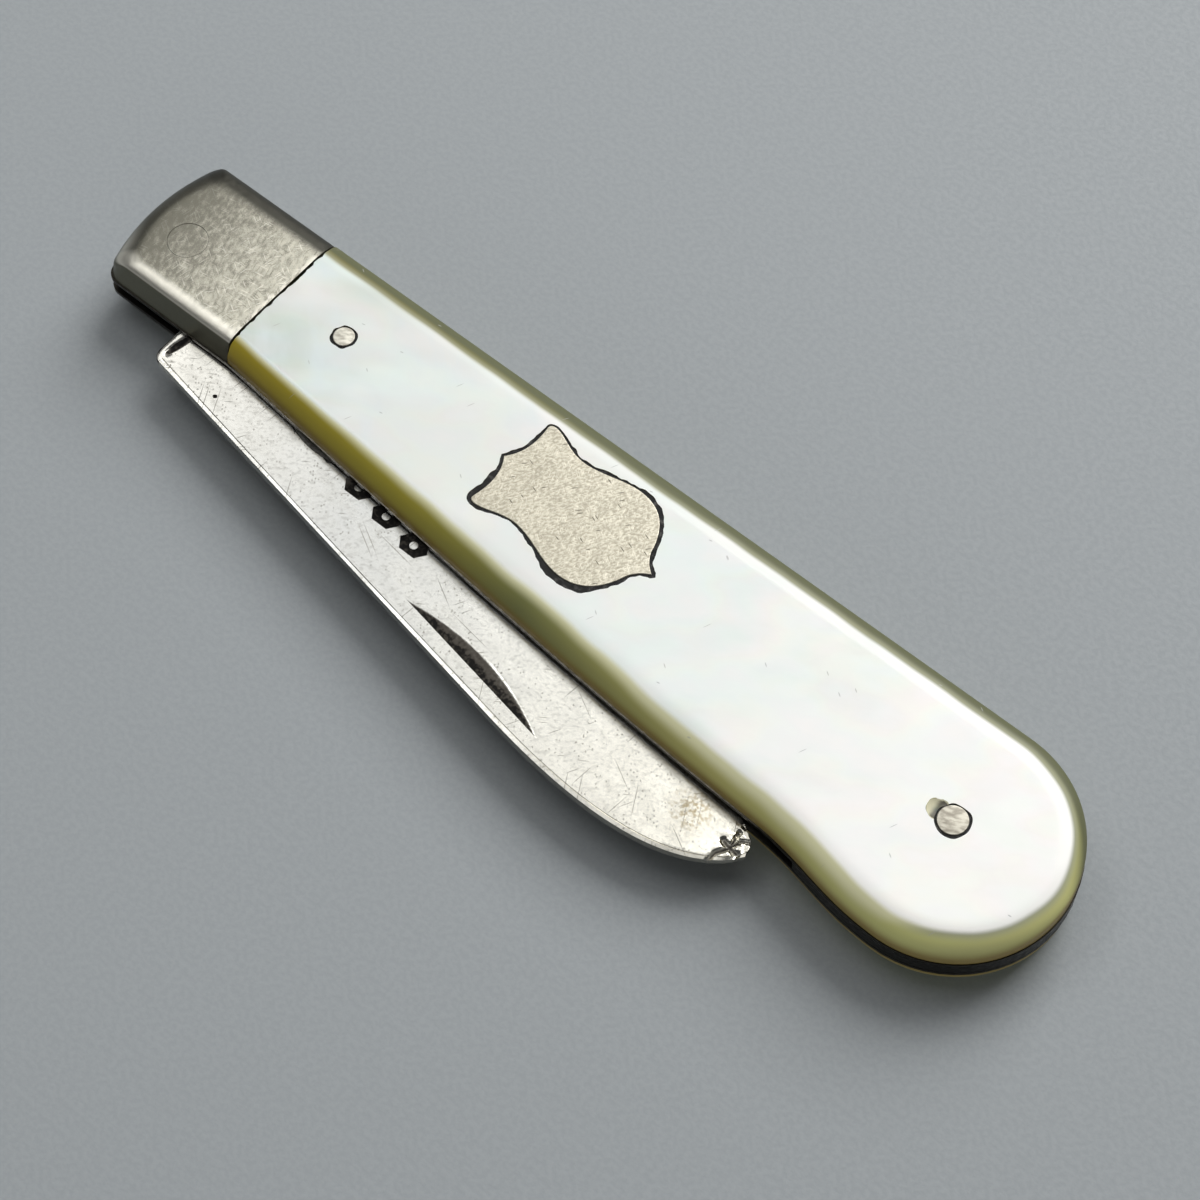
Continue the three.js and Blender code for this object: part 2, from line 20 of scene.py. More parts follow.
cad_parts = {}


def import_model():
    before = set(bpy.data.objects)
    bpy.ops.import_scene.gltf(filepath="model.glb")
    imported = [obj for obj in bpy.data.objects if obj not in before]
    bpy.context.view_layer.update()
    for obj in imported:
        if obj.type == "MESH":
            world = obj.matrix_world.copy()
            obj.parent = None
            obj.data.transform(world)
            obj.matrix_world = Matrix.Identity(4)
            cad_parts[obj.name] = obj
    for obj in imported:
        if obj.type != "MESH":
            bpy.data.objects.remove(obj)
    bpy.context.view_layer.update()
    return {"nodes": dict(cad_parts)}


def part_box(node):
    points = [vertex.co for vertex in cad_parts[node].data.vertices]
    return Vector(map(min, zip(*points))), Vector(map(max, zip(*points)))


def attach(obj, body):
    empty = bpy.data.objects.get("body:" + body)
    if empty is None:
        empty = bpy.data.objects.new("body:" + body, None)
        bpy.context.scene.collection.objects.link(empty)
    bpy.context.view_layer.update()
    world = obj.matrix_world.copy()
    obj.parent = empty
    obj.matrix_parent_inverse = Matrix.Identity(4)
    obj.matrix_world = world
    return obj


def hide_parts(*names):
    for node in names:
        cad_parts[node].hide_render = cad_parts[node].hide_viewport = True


LOG = logging.getLogger("fruit_knife")
MM = 0.001
FAR = 400.0
SHARP_ANGLE = 30.0

LONG_STEPS = 64
SHORT_STEPS = 20
CORNER_STEPS = 12
END_STEPS = 24
ROUND_STEPS = 72
EDGE_STEPS = 16
PIN_SIDES = 72

Point = tuple[float, float]
Place = tuple[float, float, float]
Colour = tuple[float, float, float]
Stops = tuple[tuple[float, Colour], ...]
Piece = bpy.types.Object
Material = bpy.types.Material
Socket = bpy.types.NodeSocket


class Body(Enum):
    """Bodies of the frame that pieces ride on."""

    HANDLE = "handle"
    BLADE = "blade"


class Slot(Enum):
    """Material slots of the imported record."""

    BLADE = "blade_silver"
    BOLSTER = "bolster_silver"
    SHIELD = "shield_silver"
    PIN = "pin_silver"
    PEARL = "pearl"


class Side(Enum):
    """The side of the blade slot that a cover lies on."""

    UPPER = "upper"
    LOWER = "lower"

    @property
    def up(self) -> int:
        """1 on the upper side and -1 on the lower one."""
        return 1 if self is Side.UPPER else -1


class Cut(Enum):
    """How one solid shapes another."""

    AWAY = "DIFFERENCE"
    KEEP = "INTERSECT"
    JOIN = "UNION"


def bend(points: Sequence[Point], steps: int) -> list[Point]:
    """Samples a Bezier curve of any order, without its last point.

    Args:
        points: Control points, two of them for a straight run.
        steps: Number of samples.

    Returns:
        The samples in order.
    """
    made = []
    for k in range(steps):
        rest = [Vector(point) for point in points]
        while len(rest) > 1:
            rest = [a.lerp(b, k / steps) for a, b in zip(rest, rest[1:])]
        made.append((rest[0].x, rest[0].y))
    return made


def circle(centre: Point, radius: float) -> list[Point]:
    """Points round a circle."""
    turns = [2 * math.pi * k / PIN_SIDES for k in range(PIN_SIDES)]
    return [(centre[0] + radius * math.cos(turn), centre[1] + radius * math.sin(turn)) for turn in turns]


def rounding() -> list[Point]:
    """Shares of breadth gone and of fall left, round a quarter circle from the wall to the top."""
    turns = [k / EDGE_STEPS * math.pi / 2 for k in range(EDGE_STEPS + 1)]
    return [(1 - math.cos(turn), 1 - math.sin(turn)) for turn in turns]


def smooth(value: float, low: float, high: float) -> float:
    """Smooth step from 0 at low to 1 at high."""
    t = min(max((value - low) / (high - low), 0.0), 1.0)
    return t * t * (3 - 2 * t)


def mixed(a: float, b: float, share: float) -> float:
    """Value a share of the way from a to b."""
    return a + (b - a) * share


def bell(*offsets: float) -> float:
    """Bell curve, 1 where every offset is 0. Offsets are measured in spreads."""
    return math.exp(-sum(offset ** 2 for offset in offsets))


@dataclass(frozen=True)
class Ripple:
    """Smooth noise of a size and pitch. The seed picks one pattern."""

    size: float
    pitch: float
    seed: float

    def at(self, x: float, y: float) -> float:
        """Height at a place, up to about the size either way."""
        return self.size * noise.noise(Vector((x / self.pitch, y / self.pitch, self.seed)))


def link(name: str, mesh: bpy.types.Mesh) -> Piece:
    """Puts a mesh into the scene.

    Args:
        name: Name of the piece.
        mesh: Its mesh.

    Returns:
        The object.
    """
    piece = bpy.data.objects.new(name, mesh)
    bpy.context.scene.collection.objects.link(piece)
    return piece


def make_piece(name: str, places: Sequence[Place], faces: Sequence[Sequence[int]]) -> Piece:
    """Makes a mesh object with its faces pointing out.

    Args:
        name: Name of the piece.
        places: Corners in millimetres.
        faces: Corner numbers of each face.

    Returns:
        The object, linked to the scene.
    """
    mesh = bpy.data.meshes.new(name)
    mesh.from_pydata([tuple(MM * c for c in place) for place in places], [], [tuple(face) for face in faces])
    shape = bmesh.new()
    shape.from_mesh(mesh)
    bmesh.ops.recalc_face_normals(shape, faces=shape.faces)
    shape.to_mesh(mesh)
    shape.free()
    return link(name, mesh)


def loft(name: str, rings: Sequence[Sequence[Place]]) -> Piece:
    """Makes a closed skin through rings of equally many points, with both end rings filled.

    Args:
        name: Name of the piece.
        rings: Rings in order.

    Returns:
        The object.
    """
    sides = len(rings[0])
    last = (len(rings) - 1) * sides
    faces = [list(range(sides - 1, -1, -1)), list(range(last, last + sides))]
    for start in range(0, last, sides):
        for j in range(sides):
            k = (j + 1) % sides
            faces.append([start + j, start + k, start + sides + k, start + sides + j])
    return make_piece(name, [place for ring in rings for place in ring], faces)


def plate(name: str, outline: Sequence[Point], bottom: float, top: float) -> Piece:
    """Makes a flat plate with upright walls between two heights."""
    return loft(name, [[(x, y, z) for x, y in outline] for z in (bottom, top)])


def block(name: str, low: Place, high: Place) -> Piece:
    """Makes an upright box between its lowest and highest corner."""
    outline = [(low[0], low[1]), (high[0], low[1]), (high[0], high[1]), (low[0], high[1])]
    return plate(name, outline, low[2], high[2])


def turned(name: str, profile: Sequence[Point], centre: Point) -> Piece:
    """Makes a turned piece about an upright axis from its radii and heights, bottom rim first."""
    return loft(name, [[(x, y, z) for x, y in circle(centre, radius)] for radius, z in profile])


def drill(radius: float, centre: Point) -> Piece:
    """Makes an upright round cutter that goes through everything."""
    return turned("drill", [(radius, -FAR), (radius, FAR)], centre)


def hoop(name: str, inner: Sequence[Point], outer: Sequence[Point], bottom: float, top: float) -> Piece:
    """Makes a flat closed band between two outlines of equally many points.

    Args:
        name: Name of the piece.
        inner: Inner outline in plan.
        outer: Outer outline in plan.
        bottom: Height of the lower face.
        top: Height of the upper face.

    Returns:
        The object.
    """
    sides = len(inner)
    loops = [(outer, bottom), (outer, top), (inner, top), (inner, bottom)]
    places = [(x, y, z) for loop, z in loops for x, y in loop]
    faces = []
    for row in range(len(loops)):
        here = row * sides
        there = (row + 1) % len(loops) * sides
        for j in range(sides):
            k = (j + 1) % sides
            faces.append([here + j, here + k, there + k, there + j])
    return make_piece(name, places, faces)


@dataclass(frozen=True)
class Pebble:
    """Rough pebble to cut chips and pits with, made from a round one."""

    radii: Place
    roughness: float
    seed: float
    bumps: float = 1.7
    subdivisions: int = 4

    def cutter(self, centre: Place) -> Piece:
        """Makes the pebble.

        Args:
            centre: Its middle.

        Returns:
            The object.
        """
        mesh = bpy.data.meshes.new("pebble")
        shape = bmesh.new()
        bmesh.ops.create_icosphere(shape, subdivisions=self.subdivisions, radius=1.0)
        for corner in shape.verts:
            reach = 1 + self.roughness * noise.noise(corner.co * self.bumps + Vector((self.seed, 0.0, 0.0)))
            corner.co = [(c + reach * a * r) * MM for c, a, r in zip(centre, corner.co, self.radii)]
        shape.to_mesh(mesh)
        shape.free()
        return link("pebble", mesh)


def settle(piece: Piece) -> None:
    """Applies a piece's modifiers to its mesh.

    Args:
        piece: The piece.
    """
    bpy.context.view_layer.update()
    graph = bpy.context.evaluated_depsgraph_get()
    mesh = bpy.data.meshes.new_from_object(piece.evaluated_get(graph))
    old = piece.data
    piece.modifiers.clear()
    piece.data = mesh
    bpy.data.meshes.remove(old)
    mesh.name = piece.name


def shape_with(piece: Piece, cutter: Piece, cut: Cut) -> None:
    """Shapes a piece with another solid, which is used up.

    Args:
        piece: The piece to shape.
        cutter: The other solid.
        cut: What the cutter does.
    """
    modifier = piece.modifiers.new("shape", "BOOLEAN")
    modifier.object = cutter
    modifier.operation = cut.value
    modifier.solver = "MANIFOLD"
    settle(piece)
    used = cutter.data
    bpy.data.objects.remove(cutter)
    bpy.data.meshes.remove(used)


def polish(piece: Piece) -> None:
    """Shades a piece smooth between its sharp edges, with its flats kept flat.

    Args:
        piece: The piece.
    """
    piece.data.shade_smooth()
    piece.data.set_sharp_from_angle(angle=math.radians(SHARP_ANGLE))
    modifier = piece.modifiers.new("flats", "WEIGHTED_NORMAL")
    modifier.keep_sharp = True
    settle(piece)


def mark(piece: Piece, name: str, share: Callable[[Place], float]) -> None:
    """Stores a share from 0 to 1 on each corner of a piece for its finish to read.

    Args:
        piece: The piece.
        name: Name of the attribute.
        share: Gives the share at a corner in millimetres.
    """
    attribute = piece.data.attributes.new(name, "FLOAT", "POINT")
    for corner, stored in zip(piece.data.vertices, attribute.data):
        place = corner.co / MM
        stored.value = min(max(share((place.x, place.y, place.z)), 0.0), 1.0)


def seat(piece: Piece, body: Body, finish: Material, slot: Slot | None, *nodes: str) -> None:
    """Dresses a finished piece and sets it on its body.

    Args:
        piece: The piece.
        body: The body it rides on.
        finish: Its material.
        slot: The record's slot for it, if it has one; not used.
        nodes: Frame nodes that it stands for.
    """
    piece.data.materials.clear()
    piece.data.materials.append(finish)
    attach(piece, body.value)
    if nodes:
        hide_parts(*nodes)
    LOG.info("%s: %d faces on %s, for %s", piece.name, len(piece.data.polygons), body.value, nodes or "trim")


@dataclass(frozen=True)
class Fade:
    """Smooth step of a value: first at low, last at high."""

    low: float
    high: float
    first: float = 0.0
    last: float = 1.0


@dataclass(frozen=True)
class Grain:
    """Cloudy noise: bumps for each millimetre, finer layers, and a stretch and turn if it has them."""

    scale: float
    detail: float
    stretch: Place | None = None
    turn: float = 0.0


@dataclass(frozen=True)
class Specks:
    """Scattered specks: cells for each millimetre, their turn, and radius and share of specks in cells."""

    cells: Place
    turn: float
    size: float
    share: float


@dataclass(frozen=True)
class Strokes:
    """Straight scratches: direction in degrees, length and width, and the share of cells with one."""

    turn: float
    length: float
    width: float
    share: float
    size: float = 0.3

    def specks(self) -> Specks:
        """The same scratches as stretched specks."""
        cells = (2 * self.size / self.length, 2 * self.size / self.width, 1.0)
        return Specks(cells, self.turn, self.size, self.share)


class Graph:
    """Node tree of one material, built socket by socket."""

    speck_core: float = 0.4
    level_faces: Fade = Fade(0.6, 0.95)

    def __init__(self, name: str) -> None:
        """Starts a material with a shader and its coordinates.

        Args:
            name: Name of the material.
        """
        self.material = bpy.data.materials.new(name)
        self.material.use_nodes = True
        self.tree = self.material.node_tree
        self.tree.nodes.clear()
        self.shader = self.add("ShaderNodeBsdfPrincipled")
        output = self.add("ShaderNodeOutputMaterial")
        self.feed(output.inputs["Surface"], self.shader.outputs["BSDF"])
        coordinates = self.add("ShaderNodeTexCoord")
        scale = self.add("ShaderNodeVectorMath", operation="SCALE")
        self.feed(scale.inputs["Vector"], coordinates.outputs["Object"])
        scale.inputs["Scale"].default_value = 1 / MM
        self.place = scale.outputs["Vector"]
        self.lean = self.split(coordinates.outputs["Normal"])
        self.level = self.maths("ABSOLUTE", self.lean[2])

    def add(self, kind: str, **settings: object) -> bpy.types.Node:
        """Adds a node.

        Args:
            kind: The node's type.
            settings: Properties to set on it.

        Returns:
            The node.
        """
        node = self.tree.nodes.new(kind)
        for key, value in settings.items():
            setattr(node, key, value)
        return node

    def feed(self, socket: Socket, value: object) -> None:
        """Links a socket to another, or sets its value.

        Args:
            socket: The input.
            value: An output socket, a number or a colour.
        """
        if isinstance(value, Socket):
            self.tree.links.new(value, socket)
        elif isinstance(value, tuple) and len(value) < len(socket.default_value):
            socket.default_value = (*value, 1.0)
        else:
            socket.default_value = value

    def set(self, **inputs: object) -> None:
        """Feeds the shader's inputs, named in lower case with underscores."""
        for key, value in inputs.items():
            self.feed(self.shader.inputs[key.replace("_", " ").title().replace("Ior", "IOR")], value)

    def split(self, vector: Socket) -> list[Socket]:
        """Parts of a vector along X, Y and Z.

        Args:
            vector: The vector.

        Returns:
            The three parts.
        """
        node = self.add("ShaderNodeSeparateXYZ")
        self.feed(node.inputs[0], vector)
        return list(node.outputs)

    def maths(self, operation: str, a: object, b: object = 0.0) -> Socket:
        """One sum on numbers.

        Args:
            operation: Name of the sum.
            a: First number or socket.
            b: Second number or socket.

        Returns:
            The result.
        """
        node = self.add("ShaderNodeMath", operation=operation)
        self.feed(node.inputs[0], a)
        self.feed(node.inputs[1], b)
        return node.outputs[0]

    def times(self, a: object, b: object) -> Socket:
        """Product of two numbers."""
        return self.maths("MULTIPLY", a, b)

    def plus(self, a: object, b: object) -> Socket:
        """Sum of two numbers."""
        return self.maths("ADD", a, b)

    def weighed(self, a: object, b: object, share: float) -> Socket:
        """A share of one number and the rest of another."""
        return self.plus(self.times(a, share), self.times(b, 1 - share))

    def along(self, start: float, end: float) -> Socket:
        """Share of the way along the knife from one place to another."""
        return self.maths("DIVIDE", self.maths("SUBTRACT", self.split(self.place)[0], start), end - start)

    def between(self, value: object, fade: Fade) -> Socket:
        """Smooth step of a value.

        Args:
            value: The number or socket.
            fade: The step.

        Returns:
            The result.
        """
        node = self.add("ShaderNodeMapRange", interpolation_type="SMOOTHSTEP")
        for socket, number in zip(node.inputs, (value, fade.low, fade.high, fade.first, fade.last)):
            self.feed(socket, number)
        return node.outputs[0]

    def stretched(self, scale: Place, turn: float) -> Socket:
        """Coordinates turned in plan and then scaled.

        Args:
            scale: Scale along each axis.
            turn: Turn in degrees.

        Returns:
            The coordinates.
        """
        node = self.add("ShaderNodeMapping", vector_type="TEXTURE")
        self.feed(node.inputs["Vector"], self.place)
        node.inputs["Rotation"].default_value = (0.0, 0.0, math.radians(turn))
        node.inputs["Scale"].default_value = tuple(1 / s for s in scale)
        return node.outputs[0]

    def cloud(self, grain: Grain) -> Socket:
        """Noise between 0 and 1.

        Args:
            grain: The noise.

        Returns:
            The noise at each place.
        """
        node = self.add("ShaderNodeTexNoise")
        stretched = self.stretched(grain.stretch, grain.turn) if grain.stretch else self.place
        self.feed(node.inputs["Vector"], stretched)
        node.inputs["Scale"].default_value = grain.scale
        node.inputs["Detail"].default_value = grain.detail
        return node.outputs[0]

    def patches(self, grain: Grain, fade: Fade) -> Socket:
        """Smooth step of a noise."""
        return self.between(self.cloud(grain), fade)

    def flecks(self, specks: Specks) -> Socket:
        """Specks scattered in plan on the level faces, 1 inside and 0 outside.

        Args:
            specks: The specks.

        Returns:
            The specks at each place.
        """
        node = self.add("ShaderNodeTexVoronoi", voronoi_dimensions="2D")
        self.feed(node.inputs["Vector"], self.stretched(specks.cells, specks.turn))
        node.inputs["Scale"].default_value = 1.0
        pick = self.split(node.outputs["Color"])[0]
        near = self.between(node.outputs["Distance"], Fade(specks.size, specks.size * self.speck_core))
        chosen = self.times(near, self.maths("LESS_THAN", pick, specks.share))
        return self.times(chosen, self.between(self.level, self.level_faces))

    def strewn(self, *layers: Specks | Strokes) -> Socket:
        """Layers of specks or scratches together, 1 inside and 0 outside.

        Args:
            layers: The layers.

        Returns:
            The largest of them at each place.
        """
        drawn = None
        for layer in layers:
            flecks = self.flecks(layer.specks() if isinstance(layer, Strokes) else layer)
            drawn = flecks if drawn is None else self.maths("MAXIMUM", drawn, flecks)
        return drawn

    def mix(self, share: object, a: object, b: object) -> Socket:
        """Colour a share of the way from a to b.

        Args:
            share: Number or socket from 0 to 1.
            a: First colour or socket.
            b: Second colour or socket.

        Returns:
            The colour.
        """
        node = self.add("ShaderNodeMix", data_type="RGBA")
        colours = [socket for socket in node.inputs if socket.type == "RGBA"]
        self.feed(node.inputs[0], share)
        self.feed(colours[0], a)
        self.feed(colours[1], b)
        return next(socket for socket in node.outputs if socket.type == "RGBA")

    def tinted(self, a: object, b: object, value: object, fade: Fade) -> Socket:
        """Colour that goes from a to b as a value goes through a fade."""
        return self.mix(self.between(value, fade), a, b)

    def ramp(self, value: Socket, stops: Stops) -> Socket:
        """Colour ramp.

        Args:
            value: Place on the ramp.
            stops: Places and colours in order.

        Returns:
            The colour.
        """
        node = self.add("ShaderNodeValToRGB")
        marks = node.color_ramp.elements
        while len(marks) < len(stops):
            marks.new(0.5)
        for stop, (place, colour) in zip(marks, stops):
            stop.position = place
            stop.color = (*colour, 1.0)
        self.feed(node.inputs[0], value)
        return node.outputs[0]

    def stored(self, name: str) -> Socket:
        """Share stored on the corners of a piece."""
        return self.add("ShaderNodeAttribute", attribute_name=name).outputs["Fac"]

    def bump(self, height: Socket, depth: float, strength: float) -> None:
        """Roughens the surface.

        Args:
            height: Height between 0 and 1.
            depth: What a height of 1 is, in millimetres.
            strength: Share of the effect.
        """
        node = self.add("ShaderNodeBump")
        self.feed(node.inputs["Height"], height)
        node.inputs["Distance"].default_value = depth * MM
        node.inputs["Strength"].default_value = strength
        self.set(normal=node.outputs[0])


@dataclass(frozen=True)
class Layer:
    """Layers of the shell: their stretch and their turn in plan."""

    stretch: Place = (0.5, 1.0, 1.0)
    turn: float = 25.0

    def grain(self, scale: float, detail: float) -> Grain:
        """Noise that follows the layers."""
        return Grain(scale, detail, self.stretch, self.turn)


@dataclass(frozen=True)
class Cloud:
    """Faint cloud in the pearl: colour, noise, where that shows and how it fades along the scale."""

    colour: Colour
    grain: Grain
    patch: Fade
    reaches: tuple[Fade, ...]


@dataclass(frozen=True)
class PearlFinish:
    """Polished mother-of-pearl: white with faint clouds on top, painted darker towards the seam as shade,
    olive where the layers are cut across.

    Ramps and reaches run along the scale from 0 at the seam to 1 at the butt. Leans are parts of the
    surface's direction, and a slope is 0 on the flat top and 1 on an upright wall.
    """

    front_x: float = -28.0
    butt_x: float = 34.0
    # The top ramp paints shade: darkest by the seam, brightest at the butt.
    top: Stops = ((0.0, (0.57, 0.64, 0.575)), (0.2, (0.785, 0.80, 0.755)), (1.0, (0.99, 0.975, 0.93)))
    clouds: tuple[Cloud, ...] = (
        Cloud((0.83, 0.90, 0.855), Layer().grain(0.16, 3.0), Fade(0.42, 0.64), (Fade(0.95, 0.55, 0.1, 0.7),)),
        Cloud((0.93, 0.88, 0.85), Layer().grain(0.11, 2.0), Fade(0.46, 0.66),
              (Fade(0.95, 0.55, 0.1, 0.7), Fade(0.55, 0.3))),
        Cloud((0.74, 0.80, 0.80), Grain(0.5, 4.0, (0.2, 0.5, 1.0), -40.0), Fade(0.50, 0.74, 0.0, 0.7),
              (Fade(0.7, 0.1),)),
        Cloud((0.75, 0.81, 0.755), Layer().grain(0.32, 5.0), Fade(0.42, 0.68, 0.0, 0.28),
              (Fade(1.0, 0.7, 0.3, 1.0),)),
    )
    edge: Stops = (
        (0.0, (0.375, 0.292, 0.028)),
        (0.28, (0.33, 0.285, 0.04)),
        (0.46, (0.21, 0.215, 0.078)),
        (0.74, (0.515, 0.485, 0.17)),
        (1.0, (0.60, 0.60, 0.24)),
    )
    edge_end: Colour = (0.52, 0.51, 0.215)
    edge_back: Colour = (0.12, 0.125, 0.066)
    end_lean: Fade = Fade(0.15, 0.6, 0.0, 0.9)
    back_lean: Fade = Fade(0.0, 0.35)
    wall_front: Colour = (0.20, 0.14, 0.025)
    wall_butt: Colour = (0.31, 0.235, 0.08)
    wall_back: Colour = (0.135, 0.13, 0.062)
    wall_lean: Fade = Fade(0.0, 0.4)
    wall_level: Fade = Fade(0.1, 0.6)
    pale: Colour = (0.71, 0.695, 0.43)
    pale_back: Colour = (0.33, 0.335, 0.24)
    pale_lean: Fade = Fade(0.02, 0.2)
    pale_slope: Fade = Fade(0.56, 0.24)
    top_slope: Fade = Fade(0.34, 0.17)
    waver_grain: Grain = Grain(0.18, 1.0)
    waver: Fade = Fade(0.3, 0.7, -0.03, 0.03)
    back_slope: Fade = Fade(0.0, 0.3, 0.0, 0.25)
    waist_slope: Fade = Fade(0.45, 0.75, 0.0, -0.09)
    roll_reach: Fade = Fade(0.5, 0.75, 0.0, -0.2)
    roll_lean: Fade = Fade(0.1, -0.1)
    scuff: Colour = (0.40, 0.40, 0.37)
    scuffs: tuple[Strokes, ...] = (
        Strokes(66.0, 0.8, 0.07, 0.003), Strokes(12.0, 0.35, 0.12, 0.002), Strokes(-35.0, 0.5, 0.1, 0.002)
    )
    scuff_share: float = 0.6
    chip: Colour = (0.68, 0.65, 0.46)
    chip_rim: Fade = Fade(0.0, 0.35)
    chip_shade: Colour = (0.15, 0.14, 0.11)
    chip_floor: Fade = Fade(0.5, 1.0)
    refraction: float = 1.6
    gloss_grain: Grain = Grain(0.8, 4.0)
    gloss: Fade = Fade(0.3, 0.7, 0.14, 0.22)
    slope_gloss: Fade = Fade(0.1, 0.4, 0.0, 0.2)
    slope_shine: Fade = Fade(0.1, 0.34, 0.5, 0.15)
    back_shine: Fade = Fade(0.01, 0.08, 0.5, 0.1)
    film: Fade = Fade(0.3, 0.7, 260.0, 520.0)
    film_grain: Grain = Layer().grain(0.3, 4.0)
    film_refraction: float = 1.53
    film_shine: float = 0.495
    bump_grain: Grain = Layer().grain(0.5, 3.0)
    bump: Point = (0.02, 0.4)

    def face(self, graph: Graph, along: Socket) -> Socket:
        """Colour of the polished top with its clouds, painted darker towards the seam as shade.

        Args:
            graph: The material's graph.
            along: Share of the way along the scale.

        Returns:
            The colour.
        """
        # The ramp paints shade towards the seam.
        colour = graph.ramp(along, self.top)
        for cloud in self.clouds:
            share = graph.patches(cloud.grain, cloud.patch)
            for reach in cloud.reaches:
                share = graph.times(share, graph.between(along, reach))
            colour = graph.mix(share, colour, cloud.colour)
        return colour

    def cut(self, graph: Graph, along: Socket) -> Socket:
        """Colour of the rounded edge and the wall, where the layers are cut across.

        Args:
            graph: The material's graph.
            along: Share of the way along the scale.

        Returns:
            The colour.
        """
        edge = graph.tinted(graph.ramp(along, self.edge), self.edge_end, graph.lean[0], self.end_lean)
        edge = graph.tinted(edge, self.edge_back, graph.lean[1], self.back_lean)
        wall = graph.mix(along, self.wall_front, self.wall_butt)
        wall = graph.tinted(wall, self.wall_back, graph.lean[1], self.wall_lean)
        return graph.tinted(wall, edge, graph.level, self.wall_level)

    def material(self) -> Material:
        """Builds the node tree.

        Returns:
            The material.
        """
        graph = Graph("pearl")
        along = graph.along(self.front_x, self.butt_x)
        towards_butt, towards_back, _ = graph.lean
        slope = graph.maths("SQRT", graph.maths("SUBTRACT", 1.0, graph.maths("POWER", graph.level, 2.0)))
        slope = graph.plus(slope, graph.patches(self.waver_grain, self.waver))
        slope = graph.plus(slope, graph.between(towards_back, self.back_slope))
        slope = graph.plus(slope, graph.between(along, self.waist_slope))
        away = graph.maths("MAXIMUM", towards_butt, towards_back)
        roll = graph.times(graph.between(along, self.roll_reach), graph.between(away, self.roll_lean))
        pale = graph.tinted(self.pale, self.pale_back, away, self.pale_lean)
        colour = graph.tinted(self.cut(graph, along), pale, graph.plus(slope, roll), self.pale_slope)
        colour = graph.tinted(colour, self.face(graph, along), slope, self.top_slope)
        colour = graph.mix(graph.times(graph.strewn(*self.scuffs), self.scuff_share), colour, self.scuff)
        chip = graph.stored("chip")
        colour = graph.tinted(colour, self.chip, chip, self.chip_rim)
        # The chip's floor is painted dark as shade.
        colour = graph.tinted(colour, self.chip_shade, chip, self.chip_floor)
        gloss = graph.patches(self.gloss_grain, self.gloss)
        shine = graph.maths("MINIMUM", graph.between(slope, self.slope_shine),
                            graph.between(towards_back, self.back_shine))
        film = graph.patches(self.film_grain, self.film)
        graph.set(base_color=colour, ior=self.refraction, specular_ior_level=shine)
        graph.set(roughness=graph.plus(gloss, graph.between(slope, self.slope_gloss)))
        graph.set(thin_film_thickness=graph.times(film, graph.maths("GREATER_THAN", shine, self.film_shine)))
        graph.set(thin_film_ior=self.film_refraction)
        graph.bump(graph.cloud(self.bump_grain), *self.bump)
        return graph.material


